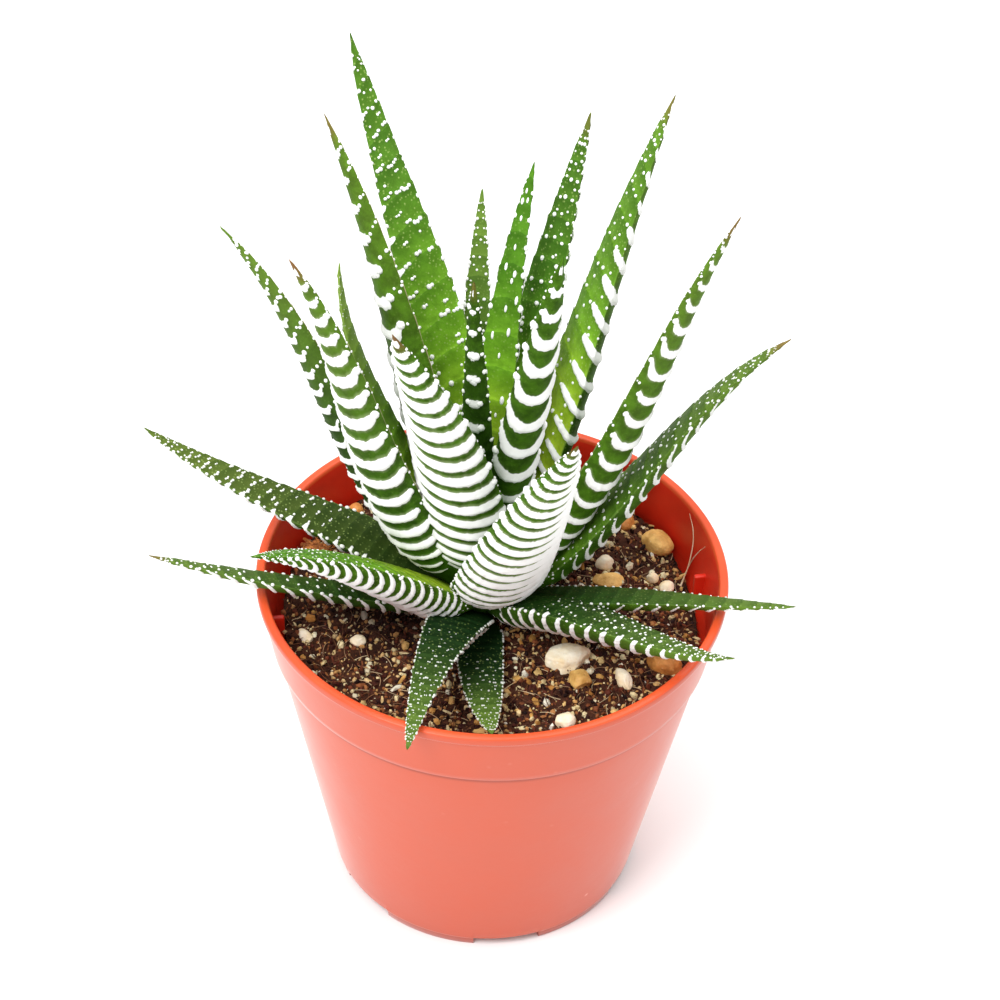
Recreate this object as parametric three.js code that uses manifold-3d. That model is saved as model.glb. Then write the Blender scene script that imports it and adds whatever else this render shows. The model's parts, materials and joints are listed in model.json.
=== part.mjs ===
// A potted haworthia: a rosette of banded succulent leaves on a short stem, in soil, in a plastic
// nursery pot. Millimetres, +Z up. The origin is the middle of the pot's underside.
import * as THREE from 'three';
import { mergeVertices } from 'three/addons/utils/BufferGeometryUtils.js';
import Module from 'manifold-3d';

const wasm = await Module();
wasm.setup();

// ---------------------------------------------------------------- driving dimensions

const GAP = 0.3; // clearance between pieces that touch

const POT = {
  height: 70,
  rimRadius: 42.5,
  lipHeight: 1.6,
  lipProud: 0.5,
  collarHeight: 12.5,
  collarFoot: 40.3, // outer radius at the bottom of the collar
  neckRadius: 39.6, // outer radius of the wall just under the collar
  baseRadius: 29,
  wall: 1.2,
  rimWidth: 1.6,
  floorLift: 2.2, // underside of the floor between the pad and the foot ring
  floorThick: 1.4,
  padRadius: 12, // flat middle of the underside, which stands on the table
  footWidth: 2.4,
  notches: 6,
  notchWidth: 12.5,
  firstNotch: -80, // degrees
  drainRadius: 3,
  drainCircle: 19.5,
  lugs: 4, // small ledges inside the collar that keep stacked pots apart
  lugWidth: 3,
  lugDepth: 2,
  lugHeight: 5,
  lugTop: 62.5,
  firstLug: 11,
  segments: 52,
};

const SOIL = {
  level: 60, // usual height of the soil
  dip: 4, // how much lower it lies at the wall on the +X side
  slope: 0.025, // how much it rises towards +Y, per millimetre
  bump: 0.5,
  segments: 36,
  rings: 8,
  grit: 22,
};

const STEM = {
  x: -2,
  y: 0,
  bottom: 42,
  shoulder: 66, // the stem narrows above this height
  top: 76,
  radius: 3,
  topRadius: 1.5,
  sides: 10,
};

// One band is a raised white ridge across the back of a leaf.
const BAND = {
  pitch: 4, // usual spacing, which gives the number of bands
  most: 15,
  first: 0.12, // where the bands start and end along a leaf
  last: 0.955,
  height: 0.62,
  tooth: 0.5, // how far a band stands out at the leaf's margins
  curl: 0.42, // how far a band's ends turn up, in bands
};

const LEAF = {
  rootWidth: 0.5, // share of the full width at the root
  shoulder: 0.17, // where the full width is reached
  keel: 0.31, // depth of the back, as a share of the width
  keelLeast: 0.55,
  crown: 0.05, // how far the inner face swells
  tipWidth: 0.9,
  rootRadius: STEM.radius + GAP,
};

// Leaves from the lowest to the heart. turn: the side that the leaf grows to, in degrees from +X.
// sway: how much it swings sideways. lean: angle from upright at the root, middle and tip.
// roll: how much the leaf is turned about its own middle line. full: how full its outline is.
const LEAVES = [
  { turn: -90, sway: 10, lean: [91, 81, 78], length: 35, width: 8.5, root: 61.8, roll: 0, full: 3 },
  { turn: -109, sway: 12, lean: [50, 82, 97], length: 47, width: 13, root: 62.6, roll: 0, full: 1.05 },
  { turn: -13, sway: -1, lean: [66, 79, 78], length: 55, width: 10, root: 62.8, roll: -20, full: 1.8 },
  { turn: 80, sway: 4, lean: [74, 72, 66], length: 58, width: 13, root: 62.4, roll: 0, full: 1.8 },
  { turn: -167, sway: 0, lean: [80, 70, 66], length: 59, width: 10, root: 63.4, roll: 20, full: 1.8 },
  { turn: -36, sway: 1, lean: [49, 81, 59], length: 53, width: 16, root: 63.6, roll: -24, full: 1.8 },
  { turn: 106, sway: -3, lean: [72, 66, 60], length: 52, width: 13, root: 63.6, roll: 0, full: 1.8 },
  { turn: -150, sway: 2, lean: [52, 54, 76], length: 50, width: 19.5, root: 65, roll: 23, full: 1.8 },
  { turn: 37, sway: 2, lean: [72, 74, 70], length: 38, width: 10, root: 64.4, roll: 0, full: 1.8 },
  { turn: 168, sway: -1, lean: [64, 72, 59], length: 64, width: 11.5, root: 65.4, roll: 0, full: 1.8 },
  { turn: -68, sway: -2, lean: [25, 30, 33], length: 75, width: 18.5, root: 65.4, roll: 0, full: 1.8 },
  { turn: 6, sway: -2, lean: [60, 33, 56], length: 73, width: 15, root: 66.2, roll: -12, full: 1.8 },
  { turn: 97, sway: -9, lean: [38, 36, 39], length: 69, width: 9, root: 66.4, roll: 0, full: 1.8 },
  { turn: 165, sway: 1, lean: [53, 24, 48], length: 81, width: 14.2, root: 67, roll: 58, full: 1.8 },
  { turn: -169, sway: -1, lean: [39, 16, 28], length: 79, width: 14.5, root: 68, roll: 45, full: 1.8 },
  { turn: 1, sway: 0, lean: [42, 20, 27], length: 87, width: 15, root: 69, roll: -38, full: 1.8 },
  { turn: 167, sway: 2, lean: [21, 24, -1], length: 67, width: 8.5, root: 69.6, roll: 0, full: 1.8 },
  { turn: -120, sway: 1, lean: [3, 22, 31], length: 77, width: 18.5, root: 70, roll: 0, full: 2.2 },
  { turn: 40, sway: 0, lean: [28, 20, 29], length: 91, width: 16, root: 71, roll: -20, full: 1.8 },
  { turn: 149, sway: -2, lean: [18, 18, 31], length: 87, width: 14, root: 72, roll: 74, full: 1.8 },
  { turn: 117, sway: 5, lean: [1, 40, 29], length: 95, width: 13.5, root: 73, roll: 0, full: 1.8 },
  { turn: 61, sway: -1, lean: [8, 23, 27], length: 81, width: 13, root: 73.6, roll: -14, full: 1.8 },
  { turn: -55, sway: 3, lean: [11, 12, 12], length: 77, width: 8, root: 74.4, roll: -20, full: 3.5 },
  { turn: 77, sway: -7, lean: [-7, 17, 36], length: 72, width: 9, root: 75.2, roll: 0, full: 1.8 },
  { turn: -105, sway: -3, lean: [-1, 7, 4], length: 64, width: 7, root: 76, roll: 0, full: 1.8 },
];

// Loose stones on the soil: place, length, width and height, turn in degrees, colour, and how
// finely each is faceted.
const STONES = [
  { name: 'stone_tan', at: [30.8, 19.2], size: [7, 4.8, 4], turn: -45, color: 0xd0a468, detail: 1 },
  { name: 'stone_orange', at: [24.5, 24.6], size: [4.6, 4.2, 3.6], turn: 70, color: 0xc98a55, detail: 1 },
  { name: 'stone_cream', at: [20.8, 12.7], size: [3.6, 3, 3], turn: 20, color: 0xf0e2bd, detail: 0 },
  { name: 'stone_ochre', at: [21.4, 8.5], size: [6, 4.2, 2.2], turn: 5, color: 0xcf9a4e, detail: 1 },
  { name: 'stone_white_a', at: [29.7, 11], size: [2.4, 2.2, 2.2], turn: 0, color: 0xf3e6c8, detail: 0 },
  { name: 'stone_white_b', at: [32.3, 9.1], size: [3, 2.8, 2.6], turn: 40, color: 0xf3e6c8, detail: 0 },
  { name: 'stone_pale', at: [13.6, -12.7], size: [8.8, 6.4, 4.6], turn: 18, color: 0xf1e4c6, detail: 1 },
  { name: 'stone_rough', at: [16.2, -17.6], size: [4.4, 4.2, 3.4], turn: 0, color: 0xd9c39a, detail: 1 },
  { name: 'stone_wedge', at: [23.9, -17], size: [5, 2.8, 3], turn: -62, color: 0xeaddc0, detail: 0 },
  { name: 'stone_brown', at: [31.2, -12.4], size: [7, 5, 3.4], turn: -20, color: 0xb5663a, detail: 1 },
  { name: 'stone_white_c', at: [13.5, -27.6], size: [3.6, 3.2, 3], turn: 10, color: 0xf6ead0, detail: 1 },
  { name: 'stone_chip_a', at: [-33.2, -8.6], size: [4.2, 2.2, 2], turn: -50, color: 0xefe3cd, detail: 0 },
  { name: 'stone_chip_b', at: [-23.7, -9.9], size: [3, 2.6, 2.2], turn: 0, color: 0xe5d2a8, detail: 0 },
  { name: 'stone_pink', at: [-26.4, 24.6], size: [3.4, 3, 3.2], turn: 60, color: 0xe0a98c, detail: 1 },
];

const BARK = { at: [-33.2, 13.6], shards: 5, length: 6.5, thick: 1.2 };

// ---------------------------------------------------------------- helpers

const rad = THREE.MathUtils.degToRad;

function random(seed) {
  let state = seed;
  return () => {
    state = (state * 1664525 + 1013904223) % 4294967296;
    return state / 4294967296;
  };
}

function solid(geometry) {
  const bare = geometry.clone();
  bare.deleteAttribute('normal');
  bare.deleteAttribute('uv');
  const merged = mergeVertices(bare, 1e-4);
  return new wasm.Manifold(new wasm.Mesh({
    numProp: 3,
    vertProperties: merged.attributes.position.array,
    triVerts: new Uint32Array(merged.index.array),
  }));
}

function geometryOf(body) {
  const mesh = body.getMesh();
  const geometry = new THREE.BufferGeometry();
  geometry.setAttribute('position', new THREE.BufferAttribute(mesh.vertProperties, 3));
  geometry.setIndex(new THREE.BufferAttribute(mesh.triVerts, 1));
  const flat = geometry.toNonIndexed();
  flat.computeVertexNormals();
  return flat;
}

// The largest connected body of a cut solid.
function largest(body) {
  const bodies = body.decompose();
  return bodies.reduce((best, one) => (one.volume() > best.volume() ? one : best));
}

const group = new THREE.Group();
group.name = 'potted_haworthia';

function addPiece(name, body, color, roughness) {
  const material = new THREE.MeshStandardMaterial({ color, roughness, metalness: 0 });
  const mesh = new THREE.Mesh(geometryOf(body), material);
  mesh.name = name;
  group.add(mesh);
}

// Smooth repeatable unevenness between -1 and 1.
function uneven(x, y, z, seed) {
  const a = Math.sin(1.9 * x + 0.7 * y + 1.3 * z + seed);
  const b = Math.sin(-1.1 * x + 2.3 * y - 0.9 * z + 2.1 * seed);
  const c = Math.sin(0.6 * x - 1.7 * y + 2.6 * z + 3.7 * seed);
  return (a + b + c) / 3;
}

function lathe(profile, segments) {
  const points = profile.map(([r, z]) => new THREE.Vector2(r, z));
  const geometry = new THREE.LatheGeometry(points, segments);
  geometry.rotateX(Math.PI / 2);
  return geometry;
}

// ---------------------------------------------------------------- pot

function wallAt(z) {
  // Outer radius of the plain wall under the collar.
  const foot = POT.floorLift;
  const neck = POT.height - POT.collarHeight;
  return THREE.MathUtils.mapLinear(z, foot, neck, POT.baseRadius + 0.5, POT.neckRadius);
}

function innerAt(z) {
  // Inner radius of the pot at a height.
  const neck = POT.height - POT.collarHeight;
  if (z <= neck - 1) return wallAt(z) - POT.wall;
  const foot = POT.collarFoot - POT.wall;
  const top = POT.rimRadius - POT.lipProud - POT.wall;
  return THREE.MathUtils.mapLinear(z, neck, POT.height, foot, top);
}

// One of the stacking ledges inside the pot.
function lugGeometry(i, grow) {
  const lug = new THREE.BoxGeometry(
    POT.lugDepth + 2 * grow, POT.lugWidth + 2 * grow, POT.lugHeight + 2 * grow);
  lug.translate(innerAt(POT.lugTop) - 0.8, 0, POT.lugTop - POT.lugHeight / 2);
  lug.rotateZ(rad(POT.firstLug + (360 / POT.lugs) * i));
  return lug;
}

function potBody() {
  const { height, rimRadius, padRadius, floorLift, floorThick, baseRadius } = POT;
  const neck = height - POT.collarHeight;
  const floorTop = floorLift + floorThick;
  const collarTop = rimRadius - POT.lipProud;
  const rimInner = rimRadius - POT.rimWidth;
  const profile = [
    [0, 0],
    [padRadius, 0],
    [padRadius + 0.9, floorLift],
    [baseRadius - POT.footWidth - 0.4, floorLift],
    [baseRadius - POT.footWidth, 0],
    [baseRadius, 0],
    [baseRadius + 0.2, floorLift - 0.4],
    [baseRadius + 0.5, floorLift],
    [wallAt(neck - 0.2), neck - 0.2],
    [POT.collarFoot, neck],
    [collarTop, height - POT.lipHeight - 0.3],
    [rimRadius, height - POT.lipHeight],
    [rimRadius, height - 0.35],
    [rimRadius - 0.35, height],
    [rimInner, height],
    [innerAt(height - 1), height - 1],
    [innerAt(neck), neck],
    [innerAt(neck - 1.5), neck - 1.5],
    [innerAt(floorTop), floorTop],
    [padRadius + 0.4, floorTop],
    [padRadius - 0.6, floorThick],
    [0, floorThick],
  ];
  let body = solid(lathe(profile, POT.segments));

  // Stacking ledges on the inner wall.
  for (let i = 0; i < POT.lugs; i += 1) body = body.add(solid(lugGeometry(i, 0)));

  // Notches in the foot ring, and a drain hole between each two notches.
  for (let i = 0; i < POT.notches; i += 1) {
    const step = 360 / POT.notches;
    const notch = new THREE.BoxGeometry(9, POT.notchWidth, floorLift + 1);
    notch.translate(baseRadius + 0.4, 0, (floorLift + 1) / 2 - 1.02);
    notch.rotateZ(rad(POT.firstNotch + step * i));
    body = body.subtract(solid(notch));
    const drain = new THREE.CylinderGeometry(POT.drainRadius, POT.drainRadius, 6, 16);
    drain.rotateX(Math.PI / 2);
    drain.translate(POT.drainCircle, 0, floorLift + 1);
    drain.rotateZ(rad(POT.firstNotch + step * (i + 0.5)));
    body = body.subtract(solid(drain));
  }
  return body;
}

// ---------------------------------------------------------------- leaves

function bandCount(leaf) {
  return Math.min(BAND.most, Math.round(leaf.length / BAND.pitch));
}

// Where band k lies along a leaf: close together at the root, widest apart in the middle.
function bandPlace(k, count) {
  const s = k / (count - 1);
  const share = (0.5 * s + 0.125 * s * s + 0.175 * (1 - Math.cos(Math.PI * s))) / 0.975;
  return BAND.first + (BAND.last - BAND.first) * share;
}

// The leaf's middle line, as frames along its length.
function midrib(leaf) {
  const steps = 60;
  const frames = [];
  const start = rad(leaf.turn);
  const at = new THREE.Vector3(
    STEM.x + LEAF.rootRadius * Math.cos(start),
    STEM.y + LEAF.rootRadius * Math.sin(start),
    leaf.root,
  );
  for (let i = 0; i <= steps; i += 1) {
    const t = i / steps;
    const turn = rad(leaf.turn + leaf.sway * t);
    const [root, middle, tip] = leaf.lean;
    const lean = rad(root * (1 - t) * (1 - 2 * t) + 4 * middle * t * (1 - t) + tip * t * (2 * t - 1));
    const along = new THREE.Vector3(
      Math.sin(lean) * Math.cos(turn), Math.sin(lean) * Math.sin(turn), Math.cos(lean));
    const inner = new THREE.Vector3(
      -Math.cos(lean) * Math.cos(turn), -Math.cos(lean) * Math.sin(turn), Math.sin(lean));
    const roll = rad(leaf.roll) * Math.min(1, 0.4 + t / 0.3);
    inner.applyAxisAngle(along, roll);
    const side = new THREE.Vector3().crossVectors(inner, along);
    frames.push({ at: at.clone(), along, inner, side });
    at.addScaledVector(along, leaf.length / steps);
  }
  return (t) => {
    const place = THREE.MathUtils.clamp(t, 0, 1) * steps;
    const i = Math.min(steps - 1, Math.floor(place));
    const f = place - i;
    const a = frames[i];
    const b = frames[i + 1];
    return {
      at: a.at.clone().lerp(b.at, f),
      side: a.side.clone().lerp(b.side, f).normalize(),
      inner: a.inner.clone().lerp(b.inner, f).normalize(),
    };
  };
}

// Half width and back depth of a leaf at t.
function sectionOf(leaf, t) {
  const shoulder = THREE.MathUtils.smoothstep(t, 0, LEAF.shoulder);
  const outline = (LEAF.rootWidth + (1 - LEAF.rootWidth) * shoulder) * (1 - t ** leaf.full);
  const width = LEAF.tipWidth + (leaf.width - LEAF.tipWidth) * outline;
  const half = width / 2;
  const depth = Math.max(LEAF.keelLeast, width * LEAF.keel);
  return { half, depth, crown: width * LEAF.crown };
}

// The columns round a leaf: its place across, its depth, and what a band adds at it.
const COLUMNS = [
  { across: 0, back: 1, out: 1, curl: 0 }, // keel
  { across: 0.62, back: 0.7, out: 1, curl: 0.25 },
  { across: 1, back: 0, out: 0.3, curl: 1 }, // margin
  { across: 0, back: 0, out: 0, curl: 0 }, // inner face
  { across: -1, back: 0, out: 0.3, curl: 1 },
  { across: -0.62, back: 0.7, out: 1, curl: 0.25 },
];

function leafGeometry(leaf) {
  const frameAt = midrib(leaf);
  const rows = [{ t: 0, crest: 0, curl: 0 }];
  const count = bandCount(leaf);
  for (let k = 0; k < count; k += 1) {
    const t = bandPlace(k, count);
    const before = k ? bandPlace(k - 1, count) : t - 0.05;
    rows.push({ t: (t + before) / 2, crest: 0, curl: t - before });
    rows.push({ t, crest: 1 - 0.7 * t * t, curl: t - before });
  }
  rows.push({ t: 1, crest: 0, curl: 0 });
  const geometry = new THREE.CylinderGeometry(1, 1, 1, COLUMNS.length, rows.length - 1);
  const position = geometry.attributes.position;
  for (let i = 0; i < position.count; i += 1) {
    const x = position.getX(i);
    const z = position.getZ(i);
    const row = rows[Math.round((0.5 + position.getY(i)) * (rows.length - 1))];
    const middle = Math.hypot(x, z) < 0.5;
    const turn = (Math.atan2(x, z) / (2 * Math.PI) + 1) * COLUMNS.length;
    const column = COLUMNS[Math.round(turn) % COLUMNS.length];
    const t = row.t + BAND.curl * row.curl * column.curl * (row.t < 1 ? 1 : 0);
    const { half, depth, crown } = sectionOf(leaf, t);
    const { at, side, inner } = frameAt(t);
    if (middle) {
      at.addScaledVector(inner, -depth / 2);
    } else {
      const rise = BAND.height * row.crest;
      const lift = column.out * rise;
      const wide = column.across * half;
      const tooth = Math.sign(column.across) * BAND.tooth * row.crest;
      const inward = column.across === 0 && column.back === 0 ? crown : 0;
      at.addScaledVector(side, wide + tooth * (column.back ? 0.5 : 1));
      at.addScaledVector(inner, inward - column.back * depth - lift * column.back);
    }
    position.setXYZ(i, at.x, at.y, at.z);
  }
  return geometry;
}

// A plain, slightly larger form of a leaf, which clears its place in older leaves.
function clearance(leaf) {
  const frameAt = midrib(leaf);
  const steps = 8;
  const geometry = new THREE.CylinderGeometry(1, 1, 1, 8, steps);
  const position = geometry.attributes.position;
  const grow = BAND.height + GAP;
  for (let i = 0; i < position.count; i += 1) {
    const x = position.getX(i);
    const z = position.getZ(i);
    const t = 0.5 + position.getY(i);
    const { half, depth, crown } = sectionOf(leaf, t);
    const { at, side, inner } = frameAt(t);
    const wide = (half + grow) * 1.12;
    at.addScaledVector(side, x * wide);
    const face = z > 0 ? depth + grow : crown + GAP * 2;
    at.addScaledVector(inner, -z * face * 1.12);
    position.setXYZ(i, at.x, at.y, at.z);
  }
  return geometry;
}

// ---------------------------------------------------------------- stem

function stemGeometry(grow) {
  const r = STEM.radius + grow;
  const profile = [
    [0, STEM.bottom - grow],
    [r * 0.7, STEM.bottom - grow],
    [r, STEM.bottom + 3],
    [r, STEM.shoulder],
    [STEM.topRadius + grow, STEM.top + grow],
    [0, STEM.top + grow],
  ];
  const geometry = lathe(profile, STEM.sides);
  geometry.translate(STEM.x, STEM.y, 0);
  return geometry;
}

// A plain hole for the stem, open at the top.
function stemHole() {
  const height = SOIL.level + 10 - STEM.bottom + GAP;
  const radius = STEM.radius + GAP * 1.2;
  const hole = new THREE.CylinderGeometry(radius, radius, height, STEM.sides * 2);
  hole.rotateX(Math.PI / 2);
  hole.translate(STEM.x, STEM.y, STEM.bottom - GAP + height / 2);
  return hole;
}

// ---------------------------------------------------------------- soil and stones

// Height of the soil's surface.
function soilTop(x, y) {
  const side = Math.exp(-((x - 38) ** 2 + (y - 4) ** 2) / 170);
  const fine = 0.45 * uneven(x * 0.9, y * 0.9, 0, 4) + 0.35 * uneven(x * 0.35, y * 0.35, 0, 9);
  return SOIL.level + SOIL.slope * y - SOIL.dip * side + SOIL.bump * fine * 2;
}

function soilBody() {
  const floorTop = POT.floorLift + POT.floorThick;
  const neck = POT.height - POT.collarHeight;
  const level = SOIL.level;
  const edge = innerAt(level) - GAP;
  const profile = [
    [0, POT.floorThick + GAP],
    [POT.padRadius - 1, POT.floorThick + GAP],
    [POT.padRadius, floorTop + GAP],
    [innerAt(floorTop) - GAP, floorTop + GAP],
    [innerAt(40) - GAP, 40],
    [innerAt(53) - GAP, 53],
  ];
  for (let i = SOIL.rings; i >= 0; i -= 1) profile.push([(edge * i) / SOIL.rings, level]);
  const geometry = lathe(profile, SOIL.segments);
  const position = geometry.attributes.position;
  for (let i = 0; i < position.count; i += 1) {
    if (position.getZ(i) < level - 0.01) continue;
    let x = position.getX(i);
    let y = position.getY(i);
    const z = soilTop(x, y);
    const r = Math.hypot(x, y);
    const limit = innerAt(Math.min(z, neck - 1.2)) - GAP - 0.05;
    if (r > limit) {
      x *= limit / r;
      y *= limit / r;
    }
    position.setXYZ(i, x, y, z);
  }
  let body = solid(geometry);

  // Grit, half sunk in the surface.
  const draw = random(17);
  for (let i = 0; i < SOIL.grit; i += 1) {
    const turn = 2 * Math.PI * draw();
    const out = 9 + 26 * Math.sqrt(draw());
    const x = out * Math.cos(turn);
    const y = out * Math.sin(turn);
    const size = 0.55 + 0.65 * draw();
    const bit = new THREE.OctahedronGeometry(size, 0);
    bit.rotateX(3 * draw());
    bit.rotateY(3 * draw());
    bit.scale(1.2, 1, 0.85);
    bit.rotateZ(6 * draw());
    bit.translate(x, y, soilTop(x, y) + 0.1 * size);
    body = body.add(solid(bit));
  }
  return body;
}

function stoneGeometry(stone, grow) {
  const [x, y] = stone.at;
  const [length, width, height] = stone.size;
  const geometry = new THREE.IcosahedronGeometry(1, stone.detail);
  const position = geometry.attributes.position;
  for (let i = 0; i < position.count; i += 1) {
    const v = new THREE.Vector3().fromBufferAttribute(position, i);
    v.multiplyScalar(1 + 0.13 * uneven(v.x * 1.4, v.y * 1.4, v.z * 1.4, length + x));
    position.setXYZ(i, v.x, v.y, v.z);
  }
  geometry.scale(length / 2 + grow, width / 2 + grow, height / 2 + grow);
  geometry.rotateZ(rad(stone.turn));
  geometry.translate(x, y, soilTop(x, y) + height * 0.17);
  return geometry;
}

// Splinters of bark that cross at one point.
function barkBody(grow) {
  const draw = random(5);
  const [x, y] = BARK.at;
  let body = null;
  for (let i = 0; i < BARK.shards; i += 1) {
    const length = BARK.length * (0.6 + 0.4 * draw()) + 2 * grow;
    const shard = new THREE.BoxGeometry(
      length, BARK.thick + 2 * grow, BARK.thick * (0.6 + 0.5 * draw()) + 2 * grow);
    shard.rotateX(draw());
    shard.rotateY(0.5 * (draw() - 0.5));
    shard.rotateZ(Math.PI * (i / BARK.shards + 0.2 * draw()));
    shard.translate(x, y, soilTop(x, y) + 0.5 + 0.5 * draw());
    const piece = solid(shard);
    body = body ? body.add(piece) : piece;
  }
  return body;
}

// ---------------------------------------------------------------- build

const pot = potBody();
const stem = solid(stemGeometry(0));
const stemRoom = solid(stemGeometry(GAP));
const rooms = LEAVES.map((leaf) => solid(clearance(leaf)));
const leaves = LEAVES.map((leaf) => solid(leafGeometry(leaf)));

// Each leaf gives way to the older leaves around it, and to the stem.
leaves.forEach((body, i) => {
  let cut = body.subtract(stemRoom);
  for (let j = 0; j < i; j += 1) cut = cut.subtract(rooms[j]);
  leaves[i] = largest(cut).simplify(0.06);
});

let soil = soilBody().subtract(solid(stemHole()));
for (let i = 0; i < 12; i += 1) soil = soil.subtract(rooms[i]);
const stones = STONES.map((stone) => solid(stoneGeometry(stone, 0)));
STONES.forEach((stone) => {
  soil = soil.subtract(solid(stoneGeometry(stone, GAP)));
});
soil = soil.subtract(barkBody(GAP));
for (let i = 0; i < POT.lugs; i += 1) soil = soil.subtract(solid(lugGeometry(i, GAP)));
soil = largest(soil).simplify(0.08);

addPiece('pot', pot, 0xf07c64, 0.45);
addPiece('soil', soil, 0x4a3226, 0.95);
addPiece('stem', stem, 0x8a7d4a, 0.8);
leaves.forEach((body, i) => {
  addPiece(`leaf_${String(i + 1).padStart(2, '0')}`, body, 0x3f7a2c, 0.5);
});
STONES.forEach((stone, i) => addPiece(stone.name, stones[i], stone.color, 0.8));
addPiece('bark', barkBody(0), 0xb8622e, 0.9);

export default group;
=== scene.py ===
"""Looks of a potted haworthia: banded leaves, gritty soil and a moulded nursery pot."""

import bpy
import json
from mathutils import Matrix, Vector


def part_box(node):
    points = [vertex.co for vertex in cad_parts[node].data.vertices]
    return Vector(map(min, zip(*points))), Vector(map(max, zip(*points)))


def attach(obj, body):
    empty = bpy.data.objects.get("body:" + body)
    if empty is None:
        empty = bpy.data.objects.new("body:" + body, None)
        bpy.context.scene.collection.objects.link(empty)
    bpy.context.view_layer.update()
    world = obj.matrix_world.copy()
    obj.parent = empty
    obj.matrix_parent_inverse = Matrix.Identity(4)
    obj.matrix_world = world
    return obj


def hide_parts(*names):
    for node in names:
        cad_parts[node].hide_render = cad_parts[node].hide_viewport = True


bl_info = {
    "name": "Potted haworthia",
    "version": (1, 0, 0),
    "blender": (4, 5, 0),
    "location": "View3D > Sidebar > Haworthia",
    "description": "Dresses the frame of a potted haworthia with its leaves, soil and pot",
    "category": "Object",
}

import json
import math
import random

import bmesh
import bpy
import numpy as np
from bpy.props import FloatProperty, FloatVectorProperty, IntProperty, PointerProperty
from mathutils import Matrix, Vector, noise

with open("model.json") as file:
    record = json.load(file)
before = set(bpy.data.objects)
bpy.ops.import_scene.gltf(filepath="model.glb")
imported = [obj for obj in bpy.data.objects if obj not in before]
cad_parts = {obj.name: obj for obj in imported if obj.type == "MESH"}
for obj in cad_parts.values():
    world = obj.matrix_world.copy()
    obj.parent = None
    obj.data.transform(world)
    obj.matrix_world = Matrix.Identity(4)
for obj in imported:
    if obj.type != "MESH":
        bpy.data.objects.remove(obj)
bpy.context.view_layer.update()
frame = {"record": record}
MM = 0.001
RIM_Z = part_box("pot")[1].z

# Sizes in this file are in millimetres until a mesh is made, and angles are in degrees.

# ---------------------------------------------------------------- the plant's own numbers

STEM = {
    "x": -2.0,
    "y": 0.0,
    "radius": 3.0,
    "root_radius": 3.3,  # where the leaves start
    "shoulder": 66.0,  # height from which it narrows
    "narrowing": 1.5,
    "ring_depth": 0.06,  # share of the radius
    "ring_rate": 4.2,
    "green_from": 62.0,  # height from which it is green
    "rows": 90,
    "segments": 40,
}

# How each leaf grows, from the lowest to the heart: turn, sway, lean at root, middle and tip,
# length, width, root height, roll, fullness.
GROWTH = {
    "leaf_01": (-90, 10, (91, 81, 78), 35, 8.5, 61.8, 0, 3.0),
    "leaf_02": (-109, 12, (50, 82, 97), 47, 13, 62.6, 0, 1.05),
    "leaf_03": (-13, -1, (66, 79, 78), 55, 10, 62.8, -20, 1.8),
    "leaf_04": (80, 4, (74, 72, 66), 58, 13, 62.4, 0, 1.8),
    "leaf_05": (-167, 0, (80, 70, 66), 59, 10, 63.4, 20, 1.8),
    "leaf_06": (-36, 1, (49, 81, 59), 53, 16, 63.6, -24, 1.8),
    "leaf_07": (106, -3, (72, 66, 60), 52, 13, 63.6, 0, 1.8),
    "leaf_08": (-150, 2, (52, 54, 76), 50, 19.5, 65, 23, 1.8),
    "leaf_09": (37, 2, (72, 74, 70), 38, 10, 64.4, 0, 1.8),
    "leaf_10": (168, -1, (64, 72, 59), 64, 11.5, 65.4, 0, 1.8),
    "leaf_11": (-68, -2, (25, 30, 33), 75, 18.5, 65.4, 0, 1.8),
    "leaf_12": (6, -2, (60, 33, 56), 73, 15, 66.2, -12, 1.8),
    "leaf_13": (97, -9, (38, 36, 39), 69, 9, 66.4, 0, 1.8),
    "leaf_14": (165, 1, (53, 24, 48), 81, 14.2, 67, 58, 1.8),
    "leaf_15": (-169, -1, (39, 16, 28), 79, 14.5, 68, 45, 1.8),
    "leaf_16": (1, 0, (42, 20, 27), 87, 15, 69, -38, 1.8),
    "leaf_17": (167, 2, (21, 24, -1), 67, 8.5, 69.6, 0, 1.8),
    "leaf_18": (-120, 1, (3, 22, 31), 77, 18.5, 70, 0, 2.2),
    "leaf_19": (40, 0, (28, 20, 29), 91, 16, 71, -20, 1.8),
    "leaf_20": (149, -2, (18, 18, 31), 87, 14, 72, 74, 1.8),
    "leaf_21": (117, 5, (1, 40, 29), 95, 13.5, 73, 0, 1.8),
    "leaf_22": (61, -1, (8, 23, 27), 81, 13, 73.6, -14, 1.8),
    "leaf_23": (-55, 3, (11, 12, 12), 77, 8, 74.4, -20, 3.5),
    "leaf_24": (77, -7, (-7, 17, 36), 72, 9, 75.2, 0, 1.8),
    "leaf_25": (-105, -3, (-1, 7, 4), 64, 7, 76, 0, 1.8),
}

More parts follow.
